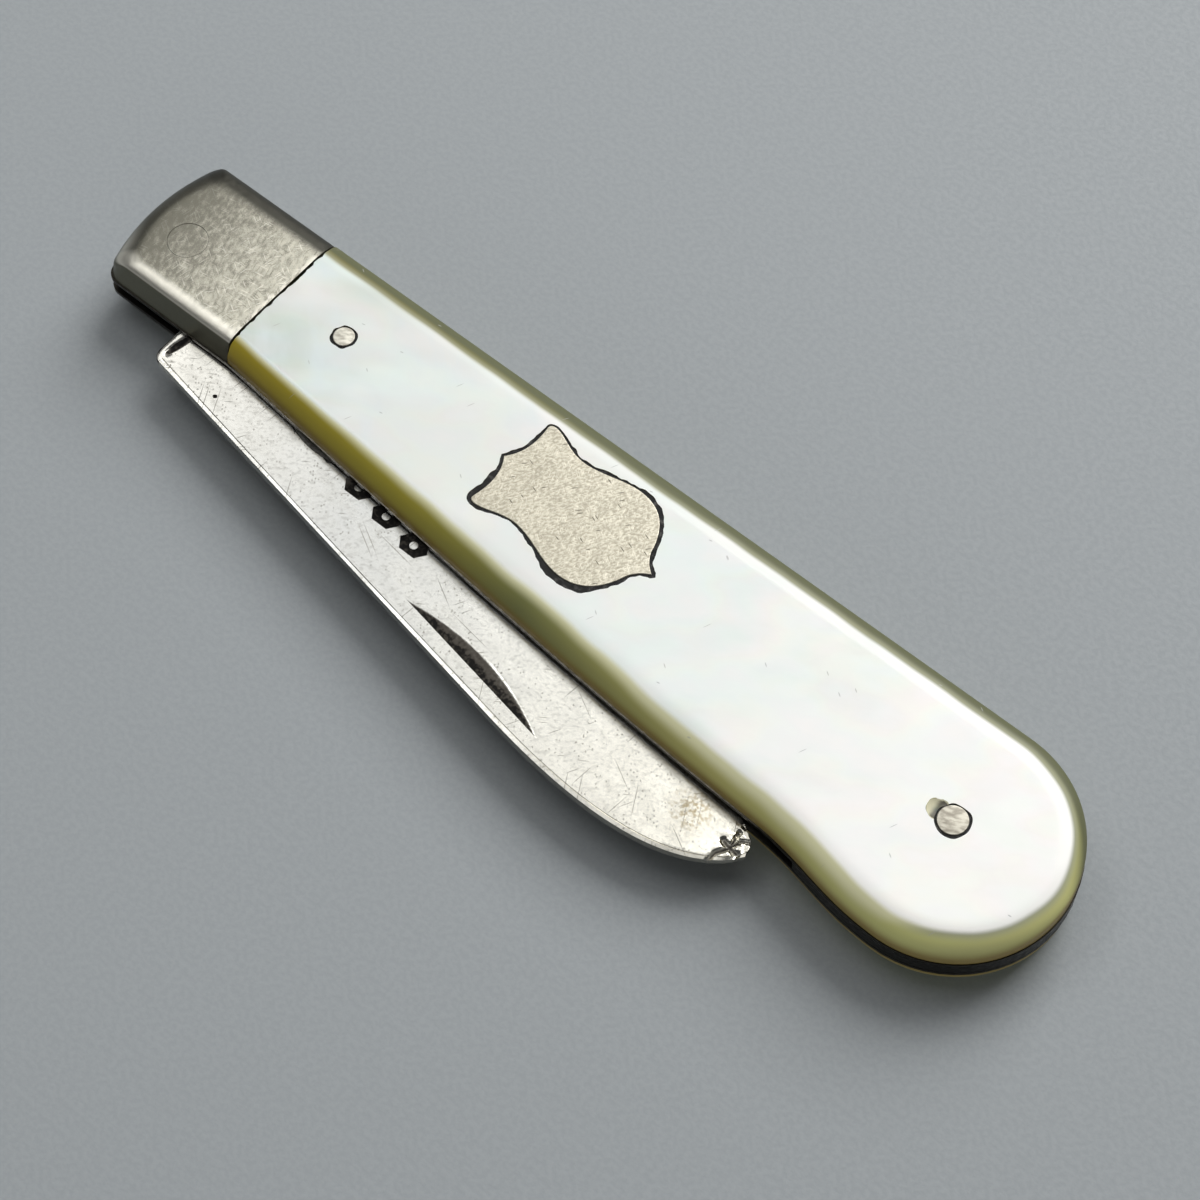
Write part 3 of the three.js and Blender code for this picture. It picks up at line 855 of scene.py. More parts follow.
@dataclass(frozen=True)
class BolsterFinish:
    """Worn silver: a satin, faintly hammered top, painted darker towards the front end as shade, a slot edge
    brightened by rubbing and a painted highlight, painted shade on the end and back edges, a bright seam edge
    that is partly wear and partly painted glints, and walls painted dark as shade.

    Dabs are the hammered patches. Strokes have a length, a width and a share of cells.
    """

    bright: Colour = (0.56, 0.54, 0.45)
    dull: Colour = (0.20, 0.192, 0.157)
    # The shade colour serves dark scratches and painted shade at the front end and on the rounded end edges;
    # the band colour is painted shade on the rounded back edge.
    shade: Colour = (0.13, 0.126, 0.10)
    band: Colour = (0.066, 0.064, 0.053)
    wall_shade: Colour = (0.15, 0.145, 0.11)
    # Bright silver of real rubs, also used for the painted highlight along the slot edge and the seam glints.
    rubbed_and_highlight: Colour = (0.80, 0.775, 0.68)
    front_x: float = -41.0
    seam_x: float = -28.0
    dabs: Grain = Grain(1.0, 5.0, (3.4, 1.7, 2.2), 14.0)
    grain: Grain = Grain(1.0, 4.0, (16.0, 9.0, 9.0), 14.0)
    dabs_share: float = 0.6
    skin: Fade = Fade(0.28, 0.72)
    # Lift paints shade along the top: darker towards the front end, a little lighter by the seam.
    lift: Point = (-0.18, 0.06)
    wear_start: float = 3.0
    wear: Point = (0.15, 0.6)
    turns: tuple[float, ...] = (80.0, 48.0, 10.0, -30.0)
    rubs: Place = (1.0, 0.09, 0.1)
    cuts: Place = (0.8, 0.08, 0.1)
    cuts_turn: float = 25.0
    # How far back and how strongly the front end is painted into shade.
    front_shade_reach: float = 6.5
    front_shade_share: float = 0.75
    # Leans at which the end and back edges take painted shade.
    end_lean: Fade = Fade(0.02, 0.5, 0.0, 0.8)
    back_lean: Fade = Fade(0.02, 0.24)
    # Faces leaning towards the slot take the painted highlight.
    slot_lean: Fade = Fade(-0.05, -0.24, 0.0, 0.85)
    # Bright seam edge: partly wear, partly painted glints on faces that do not look to the back.
    burr_and_glint_reach: Point = (0.85, 0.4)
    burr_and_glint_dabs: Fade = Fade(0.42, 0.58, 0.0, 0.8)
    burr_and_glint_lean: Fade = Fade(0.2, 0.02)
    # Faces below this level are painted dark as shade.
    wall_level: Fade = Fade(0.5, 0.78)
    gloss: Fade = Fade(0.3, 0.7, 0.42, 0.3)
    bump: Point = (0.03, 0.5)

    def material(self) -> Material:
        """Builds the node tree.

        Returns:
            The material.
        """
        graph = Graph("bolster_silver")
        x = graph.split(graph.place)[0]
        towards_butt, towards_back, _ = graph.lean
        dabs = graph.cloud(self.dabs)
        patch = graph.weighed(dabs, graph.cloud(self.grain), self.dabs_share)
        # Painted shade along the top: darker towards the front end, lighter by the seam.
        lift = graph.between(x, Fade(self.front_x, self.seam_x, *self.lift))
        wear = graph.between(x, Fade(self.front_x + self.wear_start, self.seam_x, *self.wear))
        top = graph.tinted(self.dull, self.bright, graph.plus(patch, lift), self.skin)
        for turn in self.turns:
            rubs = graph.strewn(Strokes(turn, *self.rubs))
            top = graph.mix(graph.times(rubs, wear), top, self.rubbed_and_highlight)
            cuts = graph.strewn(Strokes(turn + self.cuts_turn, *self.cuts))
            top = graph.mix(graph.times(cuts, wear), top, self.shade)
        # Painted shade at the front end.
        front = Fade(self.front_x + self.front_shade_reach, self.front_x, 0.0, self.front_shade_share)
        top = graph.tinted(top, self.shade, x, front)
        # Painted shade on the rounded end and back edges.
        top = graph.tinted(top, self.shade, graph.times(towards_butt, -1.0), self.end_lean)
        top = graph.tinted(top, self.band, towards_back, self.back_lean)
        # Painted highlight along the slot-side rounded edge, with some rubbing.
        top = graph.tinted(top, self.rubbed_and_highlight, towards_back, self.slot_lean)
        # Bright seam edge, partly wear and partly painted glints.
        burr_and_glint = graph.between(x, Fade(*(self.seam_x - reach for reach in self.burr_and_glint_reach)))
        burr_and_glint = graph.times(burr_and_glint, graph.between(dabs, self.burr_and_glint_dabs))
        top = graph.mix(graph.times(burr_and_glint, graph.between(towards_back, self.burr_and_glint_lean)), top, self.rubbed_and_highlight)
        # The walls are painted dark as shade.
        colour = graph.tinted(self.wall_shade, top, graph.level, self.wall_level)
        graph.set(base_color=colour, metallic=1.0, roughness=graph.between(patch, self.gloss))
        graph.bump(patch, *self.bump)
        return graph.material


@dataclass(frozen=True)
class ShieldFinish:
    """Matt silver with a fine granular skin. Strokes have a length, a width and a share of cells."""

    bright: Colour = (0.66, 0.625, 0.52)
    pale: Colour = (0.51, 0.48, 0.39)
    shade: Colour = (0.33, 0.305, 0.24)
    fleck: Colour = (0.12, 0.11, 0.085)
    grain: Grain = Grain(1.0, 6.0, (3.6, 6.4, 6.0), 62.0)
    broad: Grain = Grain(0.5, 3.0)
    grain_share: float = 0.8
    skin: Fade = Fade(0.36, 0.64)
    turns: tuple[float, ...] = (15.0, 60.0, -35.0, -70.0)
    strokes: Place = (0.6, 0.07, 0.2)
    bright_share: float = 0.55
    shade_turn: float = 20.0
    shade_share: float = 0.65
    fleck_turns: tuple[float, ...] = (50.0, -20.0)
    flecks: Place = (0.6, 0.1, 0.03)
    metallic: float = 0.9
    gloss: Fade = Fade(0.35, 0.65, 0.5, 0.36)
    bump: Point = (0.03, 0.6)

    def material(self) -> Material:
        """Builds the node tree.

        Returns:
            The material.
        """
        graph = Graph("shield_silver")
        grain = graph.weighed(graph.cloud(self.grain), graph.cloud(self.broad), self.grain_share)
        colour = graph.tinted(self.shade, self.pale, grain, self.skin)
        for turn in self.turns:
            strokes = graph.strewn(Strokes(turn, *self.strokes))
            colour = graph.mix(graph.times(strokes, self.bright_share), colour, self.bright)
            strokes = graph.strewn(Strokes(turn + self.shade_turn, *self.strokes))
            colour = graph.mix(graph.times(strokes, self.shade_share), colour, self.shade)
        for turn in self.fleck_turns:
            colour = graph.mix(graph.strewn(Strokes(turn, *self.flecks)), colour, self.fleck)
        graph.set(base_color=colour, metallic=self.metallic, roughness=graph.between(grain, self.gloss))
        graph.bump(grain, *self.bump)
        return graph.material


@dataclass(frozen=True)
class BladeFinish:
    """Bright silver with specks, scratches, one stain, and dirt with painted shade in the hollows. The ramp
    runs to the tip.
    """

    start_x: float = -33.0
    end_x: float = 23.0
    clean: Stops = ((0.0, (0.94, 0.92, 0.84)), (0.35, (0.65, 0.655, 0.63)), (1.0, (0.69, 0.665, 0.58)))
    speck: Colour = (0.24, 0.23, 0.20)
    tone: Grain = Grain(0.8, 4.0, (0.6, 1.6, 1.0), -10.0)
    tone_patch: Fade = Fade(0.36, 0.72, 0.0, 0.24)
    mottle: Grain = Grain(1.0, 5.0, (3.0, 4.2, 1.0), 35.0)
    mottle_patch: Fade = Fade(0.46, 0.70, 0.0, 0.3)
    specks: tuple[Specks, ...] = (
        Specks((4.6, 3.2, 1.0), 35.0, 0.32, 0.2), Specks((1.9, 1.5, 1.0), -20.0, 0.17, 0.18)
    )
    thick: Grain = Grain(0.7, 3.0)
    thick_patch: Fade = Fade(0.40, 0.62, 0.12, 0.85)
    lines: tuple[Strokes, ...] = (
        Strokes(-29.0, 3.4, 0.08, 0.02), Strokes(62.0, 1.4, 0.08, 0.02), Strokes(35.0, 0.9, 0.08, 0.025),
        Strokes(-62.0, 3.6, 0.08, 0.02), Strokes(-8.0, 5.0, 0.08, 0.02), Strokes(84.0, 2.4, 0.08, 0.014),
    )
    lines_share: float = 0.85
    stain: Colour = (0.30, 0.24, 0.13)
    stain_at: Point = (18.15, -10.58)
    stain_near: Fade = Fade(2.4, 0.2)
    blot: Grain = Grain(3.6, 5.0)
    blot_patch: Fade = Fade(0.44, 0.64, 0.08, 0.9)
    # Dirt with painted shade in the hollows; the darkest colour below is painted shadow in the deepest lines.
    dirt: Colour = (0.09, 0.08, 0.066)
    dirt_and_shade_depth: Fade = Fade(0.0, 0.7)
    black: Colour = (0.008, 0.007, 0.006)
    black_depth: Fade = Fade(0.7, 1.0)
    lumps: Grain = Grain(4.0, 4.0)
    lumps_patch: Fade = Fade(0.3, 0.7, 0.8, 1.15)
    dirt_and_shade_metallic: Fade = Fade(0.1, 0.8, 1.0, 0.1)
    dirt_and_shade_shine: Fade = Fade(0.1, 0.8, 0.5, 0.15)
    dirt_and_shade_gloss: Fade = Fade(0.1, 0.6, 0.0, 0.4)
    gloss: Fade = Fade(0.3, 0.7, 0.16, 0.25)
    bump_grain: Grain = Grain(3.0, 4.0)
    bump: Point = (0.008, 0.3)

    def material(self) -> Material:
        """Builds the node tree.

        Returns:
            The material.
        """
        graph = Graph("blade_silver")
        tone = graph.cloud(self.tone)
        colour = graph.ramp(graph.along(self.start_x, self.end_x), self.clean)
        colour = graph.tinted(colour, self.speck, tone, self.tone_patch)
        colour = graph.tinted(colour, self.speck, graph.cloud(self.mottle), self.mottle_patch)
        specks = graph.times(graph.strewn(*self.specks), graph.patches(self.thick, self.thick_patch))
        colour = graph.mix(specks, colour, self.speck)
        colour = graph.mix(graph.times(graph.strewn(*self.lines), self.lines_share), colour, self.speck)
        off_x, off_y = (
            graph.maths("POWER", graph.maths("SUBTRACT", place, middle), 2.0)
            for place, middle in zip(graph.split(graph.place), self.stain_at)
        )
        near = graph.between(graph.maths("SQRT", graph.plus(off_x, off_y)), self.stain_near)
        colour = graph.mix(graph.times(near, graph.patches(self.blot, self.blot_patch)), colour, self.stain)
        # Dirt and painted shade in hollows and creases, darkest as painted shadow in the deepest lines.
        dirt = graph.times(graph.stored("grime_and_shade"), graph.patches(self.lumps, self.lumps_patch))
        colour = graph.tinted(colour, self.dirt, dirt, self.dirt_and_shade_depth)
        colour = graph.tinted(colour, self.black, dirt, self.black_depth)
        graph.set(base_color=colour, metallic=graph.between(dirt, self.dirt_and_shade_metallic))
        graph.set(specular_ior_level=graph.between(dirt, self.dirt_and_shade_shine))
        gloss = graph.between(tone, self.gloss)
        graph.set(roughness=graph.plus(gloss, graph.between(dirt, self.dirt_and_shade_gloss)))
        graph.bump(graph.cloud(self.bump_grain), *self.bump)
        return graph.material


@dataclass(frozen=True)
class MetalFinish:
    """Satin metal with faint mottling and walls painted darker as shade, for pins, liners and spring.

    Its level faces show clean metal between the two lit places; elsewhere the colour is the wall's, painted
    dark as shade. Walls that look to the back, from the first to the second back place, take the back's
    colour.
    """

    name: str
    bright: Colour
    dull: Colour
    wall: Colour
    back: Colour
    roughness: Point
    lit: Point = (-FAR, FAR)
    lit_fades: Point = (2.0, 6.0)
    grain: Grain = Grain(1.8, 5.0, (1.0, 2.5, 2.5), 30.0)
    skin: Fade = Fade(0.35, 0.68)
    strokes: Strokes = Strokes(48.0, 0.8, 0.04, 0.1)
    patch_share: float = 0.3
    lit_level: Fade = Fade(0.2, 0.6)
    back_lean: Fade = Fade(-0.1, 0.1)
    back_places: Fade = Fade(1.5, 5.5)
    patch_span: Point = (0.3, 0.7)
    bump: Point = (0.02, 0.35)

    def material(self) -> Material:
        """Builds the node tree.

        Returns:
            The material.
        """
        graph = Graph(self.name)
        x, y, _ = graph.split(graph.place)
        patch = graph.cloud(self.grain)
        colour = graph.tinted(self.bright, self.dull, patch, self.skin)
        colour = graph.mix(graph.strewn(self.strokes), colour, self.dull)
        shown = graph.between(graph.plus(graph.level, graph.times(patch, self.patch_share)), self.lit_level)
        start, end = self.lit
        shown = graph.times(graph.between(x, Fade(start, start + self.lit_fades[0])), shown)
        shown = graph.times(graph.between(x, Fade(end, end - self.lit_fades[1])), shown)
        outer = graph.times(graph.between(graph.lean[1], self.back_lean), graph.between(y, self.back_places))
        colour = graph.mix(shown, graph.mix(outer, self.wall, self.back), colour)
        # Away from the lit level faces the colour is the painted wall shade, except on walls that look to the
        # back.
        gloss = graph.between(patch, Fade(*self.patch_span, *self.roughness))
        graph.set(base_color=colour, metallic=1.0, roughness=gloss)
        graph.bump(patch, *self.bump)
        return graph.material


@dataclass(frozen=True)
class MattFinish:
    """Matt skin of two colours with a fine grain, for cement and floor."""

    name: str
    first: Colour
    second: Colour
    grain: Grain
    patch: Fade
    gloss: Fade
    bump: Point
    shine: float = 0.5

    def material(self) -> Material:
        """Builds the node tree.

        Returns:
            The material.
        """
        graph = Graph(self.name)
        grain = graph.cloud(self.grain)
        graph.set(base_color=graph.tinted(self.first, self.second, grain, self.patch))
        graph.set(roughness=graph.between(grain, self.gloss), specular_ior_level=self.shine)
        graph.bump(grain, *self.bump)
        return graph.material


@dataclass(frozen=True)
class HandlePlan:
    """Outline and layers of the handle. Plan sizes are measured from the pivot."""

    closed_length: float = 81.6
    end_reach: float = 4.4
    end_bulge: float = 0.95
    end_shoulder: float = 0.7
    end_corner: float = 1.0
    back_reach: float = 6.6
    bolster_width: float = 11.5
    bolster_length: float = 12.5
    butt_radius: float = 8.45
    waist_from_butt: float = 19.2
    waist_width: float = 15.55
    side_belly: float = 0.7
    front_belly: float = 0.28
    butt_swell: float = 4.5
    cover_thickness: float = 2.1
    upper_seat: float = 3.7
    seam_gap: float = 0.1

    @property
    def pivot_x(self) -> float:
        """Place of the pivot along the row frame."""
        return self.end_reach - self.closed_length / 2

    @property
    def seam(self) -> float:
        """Place of the seam between bolster and scale in the row frame."""
        return self.pivot_x + self.bolster_length - self.end_reach

    @property
    def top(self) -> float:
        """Height of the upper face."""
        return self.upper_seat + self.cover_thickness

    def outline(self, margin: float = 0.0) -> list[Point]:
        """Outline of the handle in the row frame, from the butt along the back and round.

        Args:
            margin: How far it is grown outwards.

        Returns:
            Its points.
        """
        back = self.back_reach + margin
        slot = self.back_reach - self.bolster_width - margin
        furthest = -self.end_reach - margin
        corner = furthest + self.end_bulge
        shoulder = furthest + self.end_shoulder
        inner = corner + self.end_corner
        seam_x = self.bolster_length - self.end_reach
        butt_end = self.closed_length - self.end_reach
        butt_x = butt_end - self.butt_radius
        butt_y = self.back_reach - self.butt_radius
        waist_x = butt_end - self.waist_from_butt
        waist = self.back_reach - self.waist_width - margin
        lowest = butt_y - self.butt_radius - margin
        run = (waist_x - seam_x) / 3
        taper = (waist - slot) / (3 * run)
        leaving = taper + self.side_belly / run
        swell = self.butt_swell
        curves = [
            ([(butt_x, back), (inner, back)], LONG_STEPS),
            ([(inner, back), (corner, back), (shoulder, back - self.end_corner)], CORNER_STEPS),
            ([(shoulder, back - self.end_corner), (2 * furthest - shoulder, (back + slot) / 2),
              (shoulder, slot + self.end_corner)], END_STEPS),
            ([(shoulder, slot + self.end_corner), (corner, slot), (inner, slot)], CORNER_STEPS),
            ([(inner, slot), (seam_x, slot)], SHORT_STEPS),
            ([(seam_x, slot), (seam_x + run, slot + taper * run - self.front_belly),
              (waist_x - run, waist - leaving * run), (waist_x, waist)], LONG_STEPS),
            ([(waist_x, waist), (waist_x + swell, waist + leaving * swell), (butt_x - swell, lowest),
              (butt_x, lowest)], SHORT_STEPS),
        ]
        points = [point for control, steps in curves for point in bend(control, steps)]
        reach = self.butt_radius + margin
        for k in range(ROUND_STEPS):
            turn = math.pi * (k / ROUND_STEPS - 0.5)
            points.append((butt_x + reach * math.cos(turn), butt_y + reach * math.sin(turn)))
        return [(x + self.pivot_x, y) for x, y in points]


@dataclass
class PinPlan:
    """A round pin read from the frame."""

    node: str

    @property
    def centre(self) -> Point:
        """Place of the axis in plan."""
        low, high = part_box(self.node)
        return ((low.x + high.x) / 2 / MM, (low.y + high.y) / 2 / MM)

    @property
    def radius(self) -> float:
        """Radius of the pin."""
        low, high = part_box(self.node)
        return (high.x - low.x) / 2 / MM

    @property
    def heights(self) -> Point:
        """Lowest and highest point of the pin."""
        low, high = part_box(self.node)
        return (low.z / MM, high.z / MM)


@dataclass
class Cover:
    """One side's cover of the handle with its outer edge rounded over."""

    plan: HandlePlan
    side: Side
    flat_band: float = 0.3

    def edge(self, place: Point, facing: Vector) -> Place:
        """Size of the rounded edge.

        Args:
            place: Point of the outline.
            facing: Outward direction there.

        Returns:
            Its breadth in plan, its fall from the top and how far the wall under it leans in.
        """
        raise NotImplementedError

    def blank(self, name: str) -> Piece:
        """Makes the whole cover before it is cut at the seam.

        Args:
            name: Name of the piece.

        Returns:
            The object.
        """
        base = self.plan.outline()
        inwards = [Vector(b) - Vector(a) for a, b in zip(base, self.plan.outline(-1.0))]
        edges = []
        for k, place in enumerate(base):
            along = Vector(base[(k + 1) % len(base)]) - Vector(base[k - 1])
            edges.append(self.edge(place, Vector((along.y, -along.x)).normalized()))
        seat_z = self.plan.upper_seat if self.side is Side.UPPER else self.plan.cover_thickness

        def ring(share: float, extra: float, fall: float) -> list[Place]:
            """Outline drawn in from the wall and down from the top.

            Args:
                share: Share of the edge's breadth that it is drawn in.
                extra: Further width that it is drawn in.
                fall: Share of the edge's fall that it lies under the top.

            Returns:
                Its points.
            """
            made = []
            for (x, y), inward, (inset, drop, lean) in zip(base, inwards, edges):
                reach = lean + share * inset + extra
                z = seat_z + self.side.up * (self.plan.cover_thickness - fall * drop)
                made.append((x + inward.x * reach, y + inward.y * reach, z))
            return made

        rings = [[(x, y, seat_z) for x, y in base]]
        rings += [ring(gone, 0.0, left) for gone, left in rounding()]
        rings.append(ring(1.0, self.flat_band, 0.0))
        return loft(name, rings)


@dataclass
class Bolster(Cover):
    """Silver bolster round the pivot."""

    slot_edge: Point = (1.5, 0.55)
    back_edge: Point = (2.2, 0.9)
    end_edge: Point = (1.7, 1.7)
    slot_lean: float = 0.5
    end_weight: float = 2.0
    pin_gap: float = 0.028
    pin_shift: Point = (0.028, -0.018)

    def edge(self, place: Point, facing: Vector) -> Place:
        """Size of the rounded edge: crisp towards the slot, soft towards the back and the end.

        Args:
            place: Point of the outline.
            facing: Outward direction there.

        Returns:
            Its breadth in plan, its fall from the top and how far the wall under it leans in.
        """
        shares = [max(facing.y, 0.0) ** 2, max(-facing.y, 0.0) ** 2, self.end_weight * facing.x ** 2]
        edges = [self.back_edge, self.slot_edge, self.end_edge]
        inset, drop = (sum(s * e[k] for s, e in zip(shares, edges)) / sum(shares) for k in range(2))
        return inset, drop, self.slot_lean * shares[1] / sum(shares)

    def build(self, finish: Material) -> None:
        """Makes the bolster.

        Args:
            finish: Its material.
        """
        name = f"{self.side.value}_bolster"
        piece = self.blank(f"{name}_silver")
        edge = self.plan.seam - self.plan.seam_gap / 2
        shape_with(piece, block("front", (-FAR, -FAR, -FAR), (edge, FAR, FAR)), Cut.KEEP)
        centre = (self.plan.pivot_x + self.pin_shift[0], self.pin_shift[1])
        shape_with(piece, drill(PinPlan("pivot_pin").radius + self.pin_gap, centre), Cut.AWAY)
        polish(piece)
        seat(piece, Body.HANDLE, finish, Slot.BOLSTER, name)


@dataclass
class Pins:
    """Pins that show on the upper side, and the dirt round them."""

    plan: HandlePlan
    bed_depth: float = 0.07
    bed_height: float = 0.6
    hole_gap: float = 0.16
    hole_waver: float = 0.9
    hole_pitch: float = 0.6
    hole_shift: Point = (0.05, -0.06)
    rim: float = 0.06
    dome: float = 0.02
    proud: float = 0.02
    pivot_proud: float = 0.005

    def hole(self, pin: PinPlan) -> list[Point]:
        """Uneven outline of a pin's hole in a scale, a little off the pin's axis.

        Args:
            pin: The pin.

        Returns:
            Its points.
        """
        x, y = (middle + shift for middle, shift in zip(pin.centre, self.hole_shift))
        waver = Ripple(self.hole_waver, self.hole_pitch, pin.radius)
        made = []
        for u, v in circle((0.0, 0.0), 1.0):
            reach = pin.radius + self.hole_gap * (1 + waver.at(u, v))
            made.append((x + reach * u, y + reach * v))
        return made

    def domed(self, node: str, finish: Material) -> None:
        """Makes a scale pin with a low dome.

        Args:
            node: The pin's node.
            finish: Its material.
        """
        pin = PinPlan(node)
        edge = self.plan.top + self.proud
        profile = [(pin.radius, pin.heights[0]), (pin.radius, edge - self.rim)]
        profile += [(pin.radius - self.rim * gone, edge - self.rim * left) for gone, left in rounding()[1:-1]]
        for k in range(EDGE_STEPS):
            reach = 1 - k / EDGE_STEPS
            profile.append(((pin.radius - self.rim) * reach, edge + self.dome * (1 - reach * reach)))
        piece = turned(f"{node}_head", profile, pin.centre)
        polish(piece)
        seat(piece, Body.HANDLE, finish, Slot.PIN, node)

    def bed(self, node: str, finish: Material) -> None:
        """Fills the gap round a scale pin with dirt.

        Args:
            node: The pin's node.
            finish: Material of the dirt.
        """
        pin = PinPlan(node)
        inner = circle(pin.centre, pin.radius)
        bottom, top = self.plan.top - self.bed_height, self.plan.top - self.bed_depth
        piece = hoop(f"{node}_dirt", inner, self.hole(pin), bottom, top)
        polish(piece)
        seat(piece, Body.HANDLE, finish, None)

    def pivot(self, finish: Material) -> None:
        """Makes the pivot pin, spun flush into the bolsters.

        Args:
            finish: Its material.
        """
        pin = PinPlan("pivot_pin")
        bottom, top = pin.heights
        profile = [
            (pin.radius - self.rim, bottom - self.pivot_proud),
            (pin.radius, bottom + self.rim),
            (pin.radius, top - self.pivot_proud),
            (pin.radius - self.rim, top + self.pivot_proud),
        ]
        piece = turned("pivot_pin_end", profile, pin.centre)
        polish(piece)
        seat(piece, Body.HANDLE, finish, Slot.BOLSTER, "pivot_pin")


@dataclass
class Shield:
    """Plain shield let into the upper scale, bedded in cement.

    Places along it are measured from the point between its ears. The cement's gap is wider beyond the
    belly on the slot side and on the back side, and at one ear.
    """

    plan: HandlePlan
    from_seam: float = 20.75
    from_back: float = 5.85
    turn: float = -3.15
    length: float = 13.6
    ear_width: float = 8.1
    waist_width: float = 6.6
    belly_width: float = 8.5
    ear_drop: float = 0.65
    ear_round: float = 0.45
    ear_lead: float = 0.2
    scallop: float = 1.1
    ease: float = 0.35
    fullness: float = 0.75
    waist_at: float = 4.2
    belly_at: float = 8.9
    cusp_length: float = 1.2
    cusp_width: float = 2.5
    thickness: float = 0.5
    proud: float = 0.02
    rim: float = 0.06
    rim_bend: float = 0.3
    gap: float = 0.21
    gap_least: float = 0.1
    gap_ripples: tuple[Ripple, ...] = (Ripple(0.17, 1.1, 3.1), Ripple(0.102, 0.45, 6.1))
    slot_gap: float = 0.3
    slot_gap_at: float = 0.8
    slot_gap_spread: float = 2.6
    slot_gap_side: Point = (1.0, 4.0)
    back_gap: float = 0.12
    back_gap_at: float = 2.0
    back_gap_spread: float = 1.6
    back_gap_side: Point = (1.0, 3.0)
    ear_gap: float = 0.28
    ear_gap_ratio: float = 2.8
    ear_gap_spreads: Point = (0.9, 1.3)
    bed_drop: float = 0.05
    steps: int = 24

    def half(self) -> list[Point]:
        """One half of the outline, from the point between the ears to the tip.

        Returns:
            Its points.
        """
        widths = (self.ear_width, self.waist_width, self.belly_width, self.cusp_width)
        ear, waist, belly, cusp = (width / 2 for width in widths)
        cusp_at = self.length - self.cusp_length
        fullest = mixed(self.belly_at, cusp_at, self.fullness)
        ear_reach = (self.waist_at - self.ear_drop) * self.ease
        waist_reach = (self.belly_at - self.waist_at) * self.ease
        ear_top = (self.ear_drop, ear - self.ear_round)
        ear_side = (self.ear_drop + self.ear_round, ear)
        curves = [
            [(0.0, 0.0), (self.scallop, ear / 3), ear_top],
            [ear_top, (self.ear_drop - self.ear_lead * self.ear_round, ear), ear_side],
            [ear_side, (self.ear_drop + ear_reach, ear), (self.waist_at - ear_reach, waist),
             (self.waist_at, waist)],
            [(self.waist_at, waist), (self.waist_at + waist_reach, waist),
             (self.belly_at - waist_reach, belly), (self.belly_at, belly)],
            [(self.belly_at, belly), (fullest, belly), (cusp_at, cusp)],
            [(cusp_at, cusp), (cusp_at + self.cusp_length / 3, cusp / 3), (self.length, 0.0)],
        ]
        return [point for curve in curves for point in bend(curve, self.steps)] + [(self.length, 0.0)]

    def outline(self, margin: Callable[[float, float], float]) -> list[Point]:
        """Outline in the row frame.

        Args:
            margin: Growth at a place along and across the shield.

        Returns:
            Its points.
        """
        half = self.half()
        ring = half + [(x, -y) for x, y in reversed(half[1:-1])]
        turn = math.radians(self.turn)
        made = []
        for k, (x, y) in enumerate(ring):
            along = (Vector(ring[(k + 1) % len(ring)]) - Vector(ring[k - 1])).normalized()
            grow = margin(x, y)
            u = x - along.y * grow
            v = y + along.x * grow
            made.append((
                self.plan.seam + self.from_seam + u * math.cos(turn) - v * math.sin(turn),
                self.plan.back_reach - self.from_back + u * math.sin(turn) + v * math.cos(turn),
            ))
        return made

    def uneven(self, x: float, y: float) -> float:
        """Width of the cement joint.

        Args:
            x: Place along the shield.
            y: Place across it.

        Returns:
            The width.
        """
        beyond = x - self.belly_at
        slot = bell((beyond - self.slot_gap_at) / self.slot_gap_spread) * smooth(-y, *self.slot_gap_side)
        back = bell((beyond - self.back_gap_at) / self.back_gap_spread) * smooth(y, *self.back_gap_side)
        spread_x, spread_y = self.ear_gap_spreads
        ear = bell((x - self.ear_drop) / spread_x, (y + self.ear_width / self.ear_gap_ratio) / spread_y)
        wide = self.slot_gap * slot + self.ear_gap * ear + self.back_gap * back
        return max(self.gap_least, self.gap + sum(ripple.at(x, y) for ripple in self.gap_ripples) + wide)

    def pocket(self) -> Piece:
        """Cutter for the shield's pocket in the scale."""
        return plate("pocket", self.outline(self.uneven), self.plan.top - self.thickness, FAR)

    def build(self, finish: Material, cement: Material) -> None:
        """Makes the shield and its cement.

        Args:
            finish: The shield's material.
            cement: The cement's material.
        """
        bottom = self.plan.top - self.thickness
        top = self.plan.top + self.proud
        bent = self.rim_bend * self.rim
        levels = [(0.0, bottom), (0.0, top - self.rim), (-bent, top - bent), (-self.rim, top)]
        rings = [[(x, y, z) for x, y in self.outline(lambda *_, m=m: m)] for m, z in levels]
        piece = loft("shield_plate", rings)
        polish(piece)
        seat(piece, Body.HANDLE, finish, Slot.SHIELD, "shield")
        inner = self.outline(lambda *_: 0.0)
        bed = hoop("shield_cement", inner, self.outline(self.uneven), bottom, self.plan.top - self.bed_drop)
        polish(bed)
        seat(bed, Body.HANDLE, cement, None)


